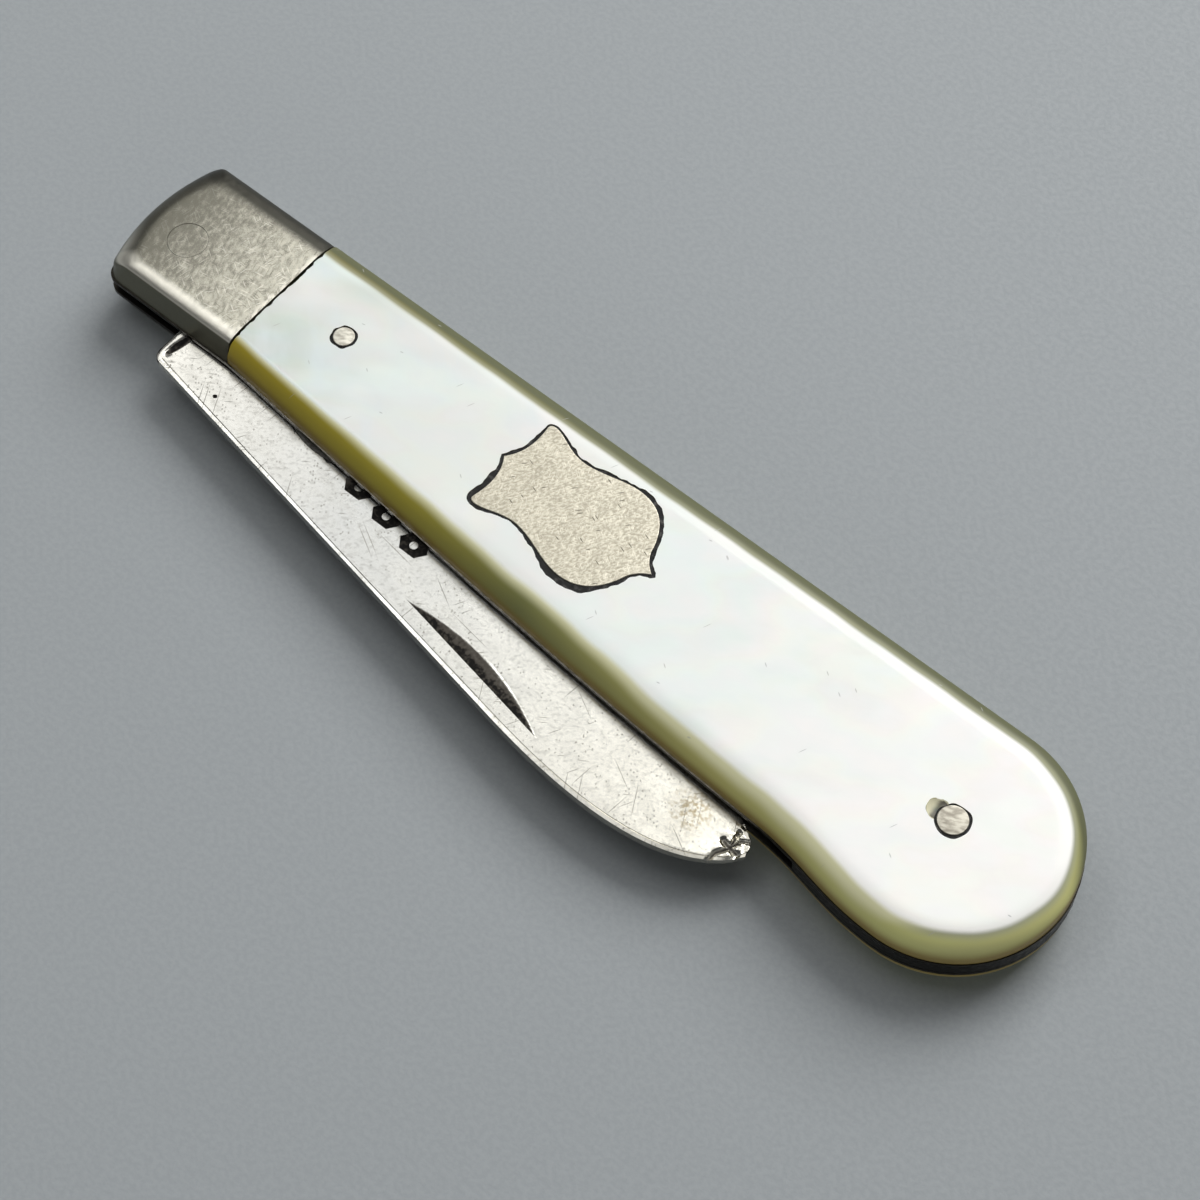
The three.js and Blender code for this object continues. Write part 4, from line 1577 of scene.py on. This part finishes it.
@dataclass
class Scale(Cover):
    """Mother-of-pearl scale. Its chip is placed from the butt pin, and the chip's painted shade is deepest by
    the pin.
    """

    front_inset: float = 1.65
    middle_inset: float = 2.5
    butt_inset: float = 2.2
    slot_drop: float = 1.85
    back_edge: Point = (2.0, 0.75)
    seam_ripples: tuple[Ripple, ...] = (Ripple(0.2, 0.55, 8.3), Ripple(0.1, 0.2, 2.9))
    seam_dirt: float = 0.05
    seam_steps: int = 160
    chip: Pebble = Pebble((0.9, 1.0, 0.56), 0.08, 0.0)
    chip_shift: Place = (-1.25, 0.02, 0.35)
    chip_reach: float = 1.3
    chip_sunk: Point = (0.0, 0.05)
    chip_shade: Point = (0.5, 0.6)
    chip_side: Point = (-0.5, 0.2)

    def edge(self, place: Point, facing: Vector) -> Place:
        """Size of the rounded edge: deep towards the slot, widest in the middle, shallow along the back.

        Args:
            place: Point of the outline.
            facing: Outward direction there.

        Returns:
            Its breadth in plan, its fall from the top and how far the wall under it leans in.
        """
        middle = smooth(place[0], self.plan.seam, 0.0)
        butt = smooth(place[0], 0.0, self.plan.closed_length / 2)
        inset = mixed(mixed(self.front_inset, self.middle_inset, middle), self.butt_inset, butt)
        slot = smooth(-facing.y, -1.0, 1.0)
        return mixed(self.back_edge[0], inset, slot), mixed(self.back_edge[1], self.slot_drop, slot), 0.0

    def seam_cutter(self) -> Piece:
        """Block up to the seam with a slightly ragged face.

        Returns:
            The cutter.
        """
        reach = self.plan.waist_width
        edge = self.plan.seam + self.plan.seam_gap / 2 + self.seam_dirt
        outline = [(-FAR, reach), (-FAR, -reach)]
        for k in range(self.seam_steps + 1):
            y = mixed(-reach, reach, k / self.seam_steps)
            outline.append((edge + sum(max(0.0, ripple.at(y, 0.0)) for ripple in self.seam_ripples), y))
        return plate("seam", outline, -FAR, FAR)

    def build_chip(self, piece: Piece) -> None:
        """Knocks a shallow chip out of a scale beside the butt pin.

        Args:
            piece: The scale.
        """
        x, y = PinPlan("butt_pin").centre
        centre = Vector((x, y, self.plan.top)) + Vector(self.chip_shift)
        shape_with(piece, self.chip.cutter(tuple(centre)), Cut.AWAY)

        def chipped(place: Place) -> float:
            """How deep a corner lies in the chip, most beside the pin; this sets the chip's painted shade.

            Args:
                place: The corner.

            Returns:
                The depth, from 0 to 1.
            """
            if math.hypot(place[0] - centre.x, place[1] - centre.y) > self.chip_reach:
                return 0.0
            # Painted shade in the chip, darkest beside the pin.
            least, more = self.chip_shade
            dirt = least + more * smooth(place[0] - centre.x, *self.chip_side)
            return smooth(self.plan.top - place[2], *self.chip_sunk) * dirt

        polish(piece)
        mark(piece, "chip", chipped)

    def build(self, finish: Material, pins: Pins, shield: Shield) -> None:
        """Makes the scale.

        Args:
            finish: Its material.
            pins: The pins that pass through it.
            shield: The shield let into the upper scale.
        """
        name = f"{self.side.value}_scale"
        piece = self.blank(f"{name}_pearl")
        shape_with(piece, self.seam_cutter(), Cut.AWAY)
        for node in ("butt_pin", "upper_front_pin"):
            shape_with(piece, plate("hole", pins.hole(PinPlan(node)), -FAR, FAR), Cut.AWAY)
        if self.side is Side.UPPER:
            shape_with(piece, shield.pocket(), Cut.AWAY)
            self.build_chip(piece)
        else:
            polish(piece)
        seat(piece, Body.HANDLE, finish, Slot.PEARL, name)


@dataclass(frozen=True)
class SpinePlan:
    """Straight spine: its place at the shoulder, its angle, a chamfered band and the line beside that."""

    reach: float = 7.6
    angle: float = 9.8
    chamfer: float = 0.055
    band: float = 0.26
    band_most: float = 0.3
    line: float = 0.09
    line_depth: float = 0.03


@dataclass(frozen=True)
class TangPlan:
    """Round cam with two flats, its bore, and the neck that joins it to the shoulder."""

    radius: float = 3.2
    flat: float = 0.12
    crest: float = 2.4
    neck_reach: float = 1.2
    neck_inset: float = 0.1
    bore: float = 1.15


@dataclass(frozen=True)
class BeadPlan:
    """Rounded rim across the shoulder. The overlap, the least and the core are shares of its width."""

    width: float = 0.75
    overlap: float = 0.9
    corner: float = 0.9
    least: float = 0.05
    core: float = 0.3
    fullness: float = 3.0
    sides: int = 32
    steps: int = 40


@dataclass(frozen=True)
class GroovePlan:
    """Groove behind the bead, which deepens from the spine on and bows away from the bead."""

    radius: float = 0.5
    depth: float = 0.2
    start: float = 0.45
    lead: float = 0.6
    fade: float = 1.5
    bow: float = 0.35
    bow_run: float = 3.0
    over: float = 1.0
    steps: int = 24
    # Dirt and painted shade in the groove.
    sink: Point = (0.01, 0.06)
    dirt: Point = (0.45, 0.6)
    wall: Point = (0.55, 0.1)


@dataclass(frozen=True)
class NickPlan:
    """Nail nick beside the spine. The cutter's ends and outer edge run past it by shares of its size."""

    from_tip: float = 22.4
    from_spine: float = 1.35
    length: float = 13.1
    breadth: float = 1.4
    depth: float = 0.25
    over: float = 0.56
    runout: float = 1.2
    clear: float = 1.0
    steps: int = 64
    floor_steps: int = 16
    # Dirt and painted shade on the nick's floor, darkest by its straight wall.
    sink: Point = (0.01, 0.05)
    dirt: Point = (0.72, 0.46)
    dirt_and_shade_from: float = 1.0
    wall: Point = (0.6, 0.05)


@dataclass(frozen=True)
class PunchPlan:
    """Row of blank six-sided punches with a plain pellet in each."""

    from_shoulder: float = 18.4
    from_spine: float = 4.4
    pitch: float = 2.95
    count: int = 3
    length: float = 2.4
    flat: float = 1.3
    breadth: float = 1.55
    depth: float = 0.1
    pellet: float = 0.3
    # Dirt and painted shade in the punches and the pit.
    sink: Point = (0.005, 0.03)


@dataclass(frozen=True)
class Creases:
    """Crossed creases near the blade's tip, measured from the spine's end: a width and a run of each.

    Through is the share of their depth that presses through to the lower face.
    """

    crossing: Point = (-1.2, -0.14)
    above: tuple[Point, ...] = ((-1.76, -1.63), (-1.7, -0.98))
    below: tuple[Point, ...] = ((-1.32, 0.54), (-1.38, 1.14))
    through_width: float = 0.22
    corner: tuple[Point, ...] = ((-0.93, 0.68), (-0.43, 1.0))
    corner_width: float = 0.2
    left: tuple[Point, ...] = ((-1.8, 0.03), (-1.55, -0.05))
    left_width: float = 0.36
    right: tuple[Point, ...] = ((-0.6, -0.22),)
    right_width: float = 0.32
    depth: float = 0.22
    through: float = 0.3
    # Dirt and painted shade in the creases.
    dirt: Point = (-0.9, 1.9)

    def share(self, place: Vector) -> float:
        """Share of their full depth at a place.

        Args:
            place: Place from the spine's end.

        Returns:
            The share, from 0 to 1.
        """
        lines = [
            (self.through_width, (*self.above, self.crossing, *self.below)),
            (self.corner_width, (self.crossing, *self.corner)),
            (self.left_width, (*self.left, self.crossing)),
            (self.right_width, (self.crossing, *self.right)),
        ]
        deepest = 0.0
        for width, line in lines:
            for start, end in zip(line, line[1:]):
                run = Vector(end) - Vector(start)
                share = min(max((place - Vector(start)).dot(run) / run.length_squared, 0.0), 1.0)
                off = (place - Vector(start) - run * share).length
                deepest = max(deepest, 1 - off / width)
        return deepest


@dataclass(frozen=True)
class Crumple:
    """Worn tip: how far it reaches in, its nibbled outline and its folded faces."""

    reach: Point = (2.4, 0.6)
    nibble_along: Ripple = Ripple(0.16, 0.45, 5.7)
    nibble_across: Ripple = Ripple(0.07, 0.4, 2.2)
    height: float = 0.16
    level: float = 0.5
    folds: tuple[Ripple, ...] = (Ripple(1.0, 0.75, 7.9), Ripple(0.5, 0.35, 4.4))


@dataclass
class Blade:
    """Silver blade folded into the slot. Plan sizes are measured from the pivot.

    In the plans of its parts, a sink is the pair of depths between which dirt and painted shade set in, and a
    dirt the pair of their least share and what a wall adds.
    """

    plan: HandlePlan
    middle: float = 2.9
    thickness: float = 0.9
    edge_thickness: float = 0.2
    width: float = 9.7
    shoulder: float = 3.4
    choil_reach: float = 1.7
    tip_x: float = 59.2
    tip_width: float = 1.1
    tip_slant: float = 0.45
    tip_thin: float = 0.55
    tip_reach: float = 4.0
    edge_turn: float = 4.6
    point_length: float = 19.2
    point_drop: float = 2.95
    point_lead: float = 8.1
    point_trail: float = 3.3
    point_sag: float = 1.53
    spine: SpinePlan = SpinePlan()
    tang: TangPlan = TangPlan()
    bead: BeadPlan = BeadPlan()
    groove: GroovePlan = GroovePlan()
    nick: NickPlan = NickPlan()
    punch: PunchPlan = PunchPlan()
    creases: Creases = Creases()
    crumple: Crumple = Crumple()
    waviness: Ripple = Ripple(0.01, 2.6, 1.3)
    waviness_start: float = 0.25
    pit: Pebble = Pebble((0.2, 0.16, 0.14), 0.4, 3.0)
    pit_at: Point = (9.17, -7.33)
    # A shallow wear hollow whose floor is painted dark as the slot's shade on the blade.
    wear: Pebble = Pebble((3.2, 0.62, 0.12), 0.1, 6.0)
    wear_at: Point = (18.2, -5.6)
    wear_range: float = 0.9
    wear_shade: float = 0.5
    straight_steps: int = 60
    point_steps: int = 130
    cross_steps: int = 36

    def spine_y(self, x: float) -> float:
        """Place of the straight spine across the knife."""
        return -self.spine.reach - math.tan(math.radians(self.spine.angle)) * (x - self.shoulder)

    def crease(self, x: float, y: float) -> float:
        """Share of the creases' full depth at a place."""
        tip = Vector((self.tip_x, self.spine_y(self.tip_x - self.point_length) + self.point_drop))
        return self.creases.share(Vector((x, y)) - tip)

    def stations(self) -> list[tuple[Vector, Vector, float]]:
        """Sections of the blade from the shoulder to the tip.

        Returns:
            Spine point, edge point and thinning at each.
        """
        start = self.shoulder + self.bead.overlap * self.bead.width
        point = self.tip_x - self.point_length
        lead = point + self.point_lead
        tip_y = self.spine_y(point) + self.point_drop
        choil = start + self.width / 2
        turn = self.tip_x - self.edge_turn
        edge_y = {x: self.spine_y(x) + self.width for x in (choil, point, turn)}
        spine = [(start, self.spine_y(start)), (point, self.spine_y(point))]
        edge = [(start, self.choil_reach), (choil, edge_y[choil]), (point, edge_y[point])]
        straight = zip(bend(spine, self.straight_steps), bend(edge, self.straight_steps))
        made = [(Vector(a), Vector(b), 1.0) for a, b in straight]
        spine = [(point, self.spine_y(point)), (lead, self.spine_y(lead)),
                 (self.tip_x - self.point_trail, self.spine_y(point) - self.point_sag), (self.tip_x, tip_y)]
        edge = [(point, edge_y[point]), (turn, edge_y[turn]),
                (self.tip_x - self.tip_slant, tip_y + self.tip_width)]
        spine = bend(spine, self.point_steps) + [spine[-1]]
        edge = bend(edge, self.point_steps) + [edge[-1]]
        for k, (a, b) in enumerate(zip(spine, edge)):
            share = k / self.point_steps
            made.append((Vector(a), Vector(b), 1 - share * share * (1 - self.tip_thin)))
        return made

    def face(self, inset: float, width: float, thin: float) -> float:
        """Height of the ground face over the middle of the blade.

        Args:
            inset: Distance in from the spine.
            width: Width of the blade there.
            thin: Share of the full thickness there.

        Returns:
            The height.
        """
        half = self.thickness / 2 * thin
        band = min(self.spine.band, self.spine.band_most * width)
        if inset < band:
            return half - self.spine.chamfer * thin * (1 - inset / band)
        line = max(0.0, 1 - abs(2 * (inset - band) / self.spine.line - 1)) * self.spine.line_depth * thin
        return mixed(half, self.edge_thickness / 2, (inset - band) / (width - band)) - line

    def section(self, spine: Vector, edge: Vector, thin: float) -> list[Place]:
        """One section of the ground part, uneven and crumpled near the tip.

        Args:
            spine: Spine point.
            edge: Edge point.
            thin: Share of the full thickness there.

        Returns:
            Its points, along the upper face and back along the lower one.
        """
        width = (edge - spine).length
        near_tip = smooth(spine.x, *(self.tip_x - reach for reach in self.crumple.reach))
        band = min(self.spine.band / width, self.spine.band_most)
        line = self.spine.line / width
        shares = [0.0, band, band + line / 2]
        shares += [mixed(band + line, 1.0, k / self.cross_steps) for k in range(self.cross_steps + 1)]
        upper, lower = [], []
        for share in shares:
            place = spine.lerp(edge, share)
            x = place.x + near_tip * self.crumple.nibble_along.at(place.y, place.x)
            y = place.y + near_tip * self.crumple.nibble_across.at(place.x, share)
            rise = self.face(share * width, width, thin)
            ridge = self.crumple.level - sum(abs(fold.at(x, y)) for fold in self.crumple.folds)
            warp = self.waviness.at(x, y) + near_tip * self.crumple.height * ridge
            dent = self.creases.depth * self.crease(x, y)
            top = self.middle + rise + warp * min(1.0, share / self.waviness_start) - dent
            bottom = self.middle - rise + near_tip * warp - self.creases.through * dent
            upper.append((x + self.plan.pivot_x, y, top))
            lower.append((x + self.plan.pivot_x, y, bottom))
        return upper + lower[::-1]

    def tang_blank(self) -> Piece:
        """Makes the tang: a round cam with flats and a neck up to the shoulder.

        Returns:
            The object.
        """
        px = self.plan.pivot_x
        bottom, top = self.middle - self.thickness / 2, self.middle + self.thickness / 2
        flat = self.tang.radius - self.tang.flat
        cam = turned("tang", [(self.tang.radius, bottom), (self.tang.radius, top)], (px, 0.0))
        shape_with(cam, block("flats", (-FAR, -flat, -FAR), (FAR, flat, FAR)), Cut.KEEP)
        end = self.shoulder + self.bead.width
        inner = px + self.shoulder + self.bead.width / 2
        deep = self.spine_y(end) + self.tang.neck_reach
        neck = [(px, -flat), (inner, -flat), (inner, deep), (px + end, deep),
                (px + end, self.choil_reach - self.tang.neck_inset), (px + self.tang.crest, flat), (px, flat)]
        shape_with(cam, plate("neck", neck, bottom, top), Cut.JOIN)
        return cam

    def rim(self) -> Piece:
        """Makes the rounded rim across the shoulder, its outer corner rounded off in plan.

        Returns:
            The object.
        """
        right = self.shoulder + self.bead.width + self.plan.pivot_x
        start = self.spine_y(self.shoulder + self.bead.width)
        turns = [math.pi * (k / self.bead.sides + 0.5) for k in range(self.bead.sides + 1)]
        power = 2 / self.bead.fullness
        rings = []
        for k in range(self.bead.steps + 1):
            y = mixed(start, self.choil_reach, (k / self.bead.steps) ** 2)
            corner = min(1.0, (y - start) / self.bead.corner)
            reach = self.bead.width * max(self.bead.least, math.sqrt(1 - (1 - corner) ** 2))
            section = [(right, -1.0), (right, 1.0)]
            for turn in turns:
                across = mixed(self.bead.core, 1.0, abs(math.cos(turn)) ** power)
                up = math.copysign(abs(math.sin(turn)) ** power, math.sin(turn))
                section.append((right - reach * across, up))
            rings.append([(x, y, self.middle + self.thickness / 2 * up) for x, up in section])
        return loft("bead", rings)

    def groove_cutter(self, side: Side) -> Piece:
        """Round cutter for the groove behind the bead.

        Args:
            side: The face that it is in.

        Returns:
            The cutter.
        """
        x = self.plan.pivot_x + self.shoulder + self.bead.width
        z = self.middle + side.up * (self.thickness / 2 + self.groove.radius - self.groove.depth)
        start = self.spine_y(self.shoulder) + self.groove.start
        rings = []
        for k in range(self.groove.steps + 1):
            y = mixed(start, self.choil_reach + self.groove.over, k / self.groove.steps)
            bow = self.groove.bow * smooth(y, start, start + self.groove.bow_run)
            lift = self.groove.depth * (1 - smooth(y, start - self.groove.lead, start + self.groove.fade))
            centre = (x + bow, z + side.up * lift)
            rings.append([(u, y, w) for u, w in circle(centre, self.groove.radius)])
        return loft("groove", rings)

    def nick_cutter(self) -> Piece:
        """Cutter for the nail nick: a straight wall at the spine, a floor that rises to a curved edge.

        Returns:
            The cutter.
        """
        centre = self.tip_x - self.nick.from_tip
        turn = -math.radians(self.spine.angle)
        start_x = self.plan.pivot_x + centre
        start_y = self.spine_y(centre) + self.nick.from_spine
        face = self.middle + self.face(self.nick.from_spine + self.nick.breadth / 2, self.width, 1.0)
        runs = [self.nick.runout * k / self.nick.floor_steps for k in range(self.nick.floor_steps + 1)]
        rings = []
        for k in range(self.nick.steps + 1):
            s = mixed(-self.nick.over, self.nick.over, k / self.nick.steps) * self.nick.length
            sink = self.nick.depth * (1 - (2 * s / self.nick.length) ** 2)
            floor = [(run, face - sink + run * self.nick.depth) for run in runs]
            lid = [(self.nick.runout, face + self.nick.clear), (0.0, face + self.nick.clear)]
            ring = []
            for run, z in floor + lid:
                across = run * self.nick.breadth
                x = start_x + s * math.cos(turn) - across * math.sin(turn)
                y = start_y + s * math.sin(turn) + across * math.cos(turn)
                ring.append((x, y, z))
            rings.append(ring)
        return loft("nick", rings)

    def punch_cutter(self, count: int) -> Piece:
        """Cutter for one blank punch with a plain pellet.

        Args:
            count: Number of the punch from the shoulder.

        Returns:
            The cutter.
        """
        x = self.shoulder + self.punch.from_shoulder + count * self.punch.pitch
        y = self.spine_y(x) + self.punch.from_spine
        x += self.plan.pivot_x
        long, flat, wide = self.punch.length / 2, self.punch.flat / 2, self.punch.breadth / 2
        floor = self.middle + self.face(self.punch.from_spine, self.width, 1.0) - self.punch.depth
        hexagon = [(x - long, y), (x - flat, y - wide), (x + flat, y - wide),
                   (x + long, y), (x + flat, y + wide), (x - flat, y + wide)]
        cutter = plate("punch", hexagon, floor, FAR)
        shape_with(cutter, drill(self.punch.pellet, (x, y)), Cut.AWAY)
        return cutter

    def dirt_and_shade(self, place: Place) -> float:
        """How much dirt and painted shade lie on a corner: some on hollow floors, most in deep lines.

        Args:
            place: The corner.

        Returns:
            The share of dirt and painted shade.
        """
        x, y, z = place[0] - self.plan.pivot_x, place[1], place[2]
        if z < self.middle:
            return 0.0
        # Creases near the tip take dirt and painted shade.
        if x > self.tip_x - self.tip_reach:
            least, more = self.creases.dirt
            return least + more * self.crease(x, y)
        inset = y - self.spine_y(x)
        sunk = self.middle + self.face(inset, self.width, 1.0) - z
        nick_start = self.tip_x - self.nick.from_tip - self.nick.length / 2
        # Painted shade on the nick's floor, darkest by its straight wall, with dirt.
        if nick_start < x < nick_start + self.nick.length and inset > self.nick.dirt_and_shade_from:
            least, more = self.nick.dirt
            across = (inset - self.nick.from_spine) / self.nick.breadth
            return smooth(sunk, *self.nick.sink) * (least + more * smooth(across, *self.nick.wall))
        groove_x = self.shoulder + self.bead.width
        # Dirt and painted shade in the groove behind the bead.
        if groove_x - self.groove.radius < x < groove_x + self.groove.bow + self.groove.radius:
            least, more = self.groove.dirt
            return smooth(sunk, *self.groove.sink) * (least + more * smooth(x - groove_x, *self.groove.wall))
        # The wear hollow's floor is painted dark as shade.
        if abs(x - self.wear_at[0]) < self.wear_range * self.wear.radii[0]:
            return self.wear_shade * smooth(sunk, *self.punch.sink)
        # Dirt and painted shade in the punches and the pit.
        return smooth(sunk, *self.punch.sink) if self.shoulder < x < nick_start else 0.0

    def cutters(self) -> Iterator[Piece]:
        """Makes what is cut out of the blade, one at a time.

        Yields:
            The cutters in order.
        """
        yield drill(self.tang.bore, (self.plan.pivot_x, 0.0))
        for side in Side:
            yield self.groove_cutter(side)
        yield self.nick_cutter()
        for count in range(self.punch.count):
            yield self.punch_cutter(count)
        x, y = self.pit_at
        yield self.pit.cutter((x + self.plan.pivot_x, y, self.middle + self.thickness / 2))
        x, y = self.wear_at
        face = self.face(y - self.spine_y(x), self.width, 1.0)
        yield self.wear.cutter((x + self.plan.pivot_x, y, self.middle + face + self.wear.radii[2] / 2))

    def build(self, finish: Material) -> None:
        """Makes the blade.

        Args:
            finish: Its material.
        """
        piece = loft("blade_silver", [self.section(*station) for station in self.stations()])
        shape_with(piece, self.tang_blank(), Cut.JOIN)
        shape_with(piece, self.rim(), Cut.JOIN)
        for cutter in self.cutters():
            shape_with(piece, cutter, Cut.AWAY)
        polish(piece)
        mark(piece, "grime_and_shade", self.dirt_and_shade)
        seat(piece, Body.BLADE, finish, Slot.BLADE, "blade")


@dataclass(frozen=True)
class Lamp:
    """Soft lamp with an oblong face that looks at the knife."""

    name: str
    direction: Place
    distance: float
    size: Point
    radiance: float

    def hang(self) -> None:
        """Adds the lamp to the scene, its power worked out from the brightness of its face."""
        data = bpy.data.lights.new(self.name, "AREA")
        data.shape = "RECTANGLE"
        data.size, data.size_y = (side * MM for side in self.size)
        data.energy = self.radiance * math.pi * data.size * data.size_y
        lamp = bpy.data.objects.new(self.name, data)
        towards = Vector(self.direction).normalized()
        lamp.location = towards * self.distance * MM
        lamp.rotation_euler = (-towards).to_track_quat("-Z", "Y").to_euler()
        bpy.context.scene.collection.objects.link(lamp)


@dataclass
class Studio:
    """Floor, light and camera."""

    azimuth: float = 39.73
    elevation: float = 61.5
    aim: Place = (4.59, -3.65, 5.8)
    distance: float = 191.45
    lens: float = 87.0
    sensor: float = 36.0
    clip_start: float = 10.0
    sky_stops: Stops = ((0.0, (0.45, 0.455, 0.46)), (0.75, (0.06, 0.062, 0.064)))
    floor_radius: float = 4000.0
    lamps: tuple[Lamp, ...] = (
        Lamp("key", (-0.02, 0.755, 0.655), 900.0, (604.0, 604.0), 6.8),
        Lamp("fill", (-0.22, 0.30, 0.93), 500.0, (480.0, 480.0), 1.0),
        Lamp("strip", (-0.465, -0.10, 0.88), 500.0, (300.0, 110.0), 2.1),
        Lamp("card", (0.70, -0.70, 0.27), 1200.0, (1030.0, 445.0), 0.75),
    )

    def sky(self) -> bpy.types.World:
        """Makes the surroundings, pale low down and darker overhead.

        Returns:
            The world.
        """
        world = bpy.data.worlds.new("studio")
        world.use_nodes = True
        tree = world.node_tree
        coordinates = tree.nodes.new("ShaderNodeTexCoord")
        split = tree.nodes.new("ShaderNodeSeparateXYZ")
        fade = tree.nodes.new("ShaderNodeValToRGB")
        fade.color_ramp.interpolation = "EASE"
        for stop, (place, colour) in zip(fade.color_ramp.elements, self.sky_stops):
            stop.position = place
            stop.color = (*colour, 1.0)
        tree.links.new(coordinates.outputs["Generated"], split.inputs[0])
        tree.links.new(split.outputs["Z"], fade.inputs[0])
        tree.links.new(fade.outputs[0], tree.nodes["Background"].inputs["Color"])
        return world

    def camera(self) -> None:
        """Places the camera at the photograph's angle."""
        azimuth, elevation = math.radians(self.azimuth), math.radians(self.elevation)
        back = Vector((math.sin(azimuth) * math.cos(elevation), -math.cos(azimuth) * math.cos(elevation),
                       math.sin(elevation)))
        data = bpy.data.cameras.new("camera")
        data.lens = self.lens
        data.sensor_width = self.sensor
        data.clip_start = self.clip_start * MM
        camera = bpy.data.objects.new("camera", data)
        camera.location = (Vector(self.aim) + back * self.distance) * MM
        camera.rotation_euler = (-back).to_track_quat("-Z", "Y").to_euler()
        bpy.context.scene.collection.objects.link(camera)
        bpy.context.scene.camera = camera

    def build(self, finish: Material) -> None:
        """Makes floor, surroundings, lamps and camera.

        Args:
            finish: The floor's material.
        """
        rim = [(x, y, 0.0) for x, y in circle((0.0, 0.0), self.floor_radius)]
        floor = make_piece("floor", rim, [range(PIN_SIDES)])
        floor.data.materials.append(finish)
        bpy.context.scene.world = self.sky()
        for lamp in self.lamps:
            lamp.hang()
        self.camera()
        bpy.context.scene.view_settings.view_transform = "Standard"


def dress_inner(nodes: dict[str, Piece], finish: Material, *names: str) -> None:
    """Gives frame nodes that keep their own shape a better material.

    Args:
        nodes: The frame's nodes by name.
        finish: The material.
        names: The nodes to dress.
    """
    for name in names:
        for slot in nodes[name].material_slots:
            slot.material = finish
        LOG.info("%s: kept from the frame in %s", name, finish.name)


def main() -> None:
    """Builds the knife and the studio."""
    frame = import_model()
    plan = HandlePlan()
    pearl = PearlFinish().material()
    bolster = BolsterFinish().material()
    cement = MattFinish(
        name="cutler_cement", first=(0.006, 0.0055, 0.005), second=(0.07, 0.066, 0.06), grain=Grain(2.4, 4.0),
        patch=Fade(0.55, 0.8), gloss=Fade(0.3, 0.7, 0.7, 0.5), bump=(0.08, 0.8), shine=0.25,
    ).material()
    floor = MattFinish(
        name="floor", first=(0.302, 0.325, 0.336), second=(0.315, 0.338, 0.349), grain=Grain(2.6, 3.0),
        patch=Fade(0.35, 0.65), gloss=Fade(0.3, 0.7, 0.75, 0.6), bump=(0.06, 0.3),
    ).material()
    pin_silver = MetalFinish(
        name="pin_silver", bright=(0.62, 0.60, 0.52), dull=(0.38, 0.36, 0.305), wall=(0.26, 0.24, 0.20),
        back=(0.26, 0.24, 0.20), roughness=(0.45, 0.55),
    ).material()
    butt_silver = MetalFinish(
        name="butt_pin_silver", bright=(0.40, 0.38, 0.32), dull=(0.25, 0.23, 0.19), wall=(0.20, 0.185, 0.15),
        back=(0.20, 0.185, 0.15), roughness=(0.45, 0.55),
    ).material()
    # Liner walls, and the liner outside its lit places, are painted very dark as shade.
    liner = MetalFinish(
        name="liner_metal", bright=(0.46, 0.44, 0.39), dull=(0.27, 0.25, 0.21), wall=(0.03, 0.027, 0.022),
        back=(0.30, 0.285, 0.245), roughness=(0.35, 0.5), lit=(plan.seam, 24.0),
    ).material()
    # Spring walls are painted very dark as shade.
    steel = MetalFinish(
        name="spring_steel", bright=(0.42, 0.41, 0.39), dull=(0.26, 0.25, 0.23), wall=(0.02, 0.018, 0.015),
        back=(0.38, 0.375, 0.36), roughness=(0.35, 0.5),
    ).material()

    pins = Pins(plan)
    shield = Shield(plan)
    for side in Side:
        Bolster(plan, side).build(bolster)
        Scale(plan, side).build(pearl, pins, shield)
    shield.build(ShieldFinish().material(), cement)
    for node, silver in (("butt_pin", butt_silver), ("upper_front_pin", pin_silver)):
        pins.domed(node, silver)
        pins.bed(node, cement)
    pins.pivot(bolster)
    Blade(plan).build(BladeFinish().material())
    dress_inner(frame["nodes"], liner, "upper_liner", "lower_liner", "shield_pin_front", "shield_pin_rear")
    dress_inner(frame["nodes"], steel, "backspring", "spring_centre_pin")
    dress_inner(frame["nodes"], pin_silver, "lower_front_pin")
    Studio().build(floor)

    bpy.context.view_layer.update()


if __name__ == "__main__":
    logging.basicConfig(level=logging.INFO, format="%(name)s: %(message)s")
    main()
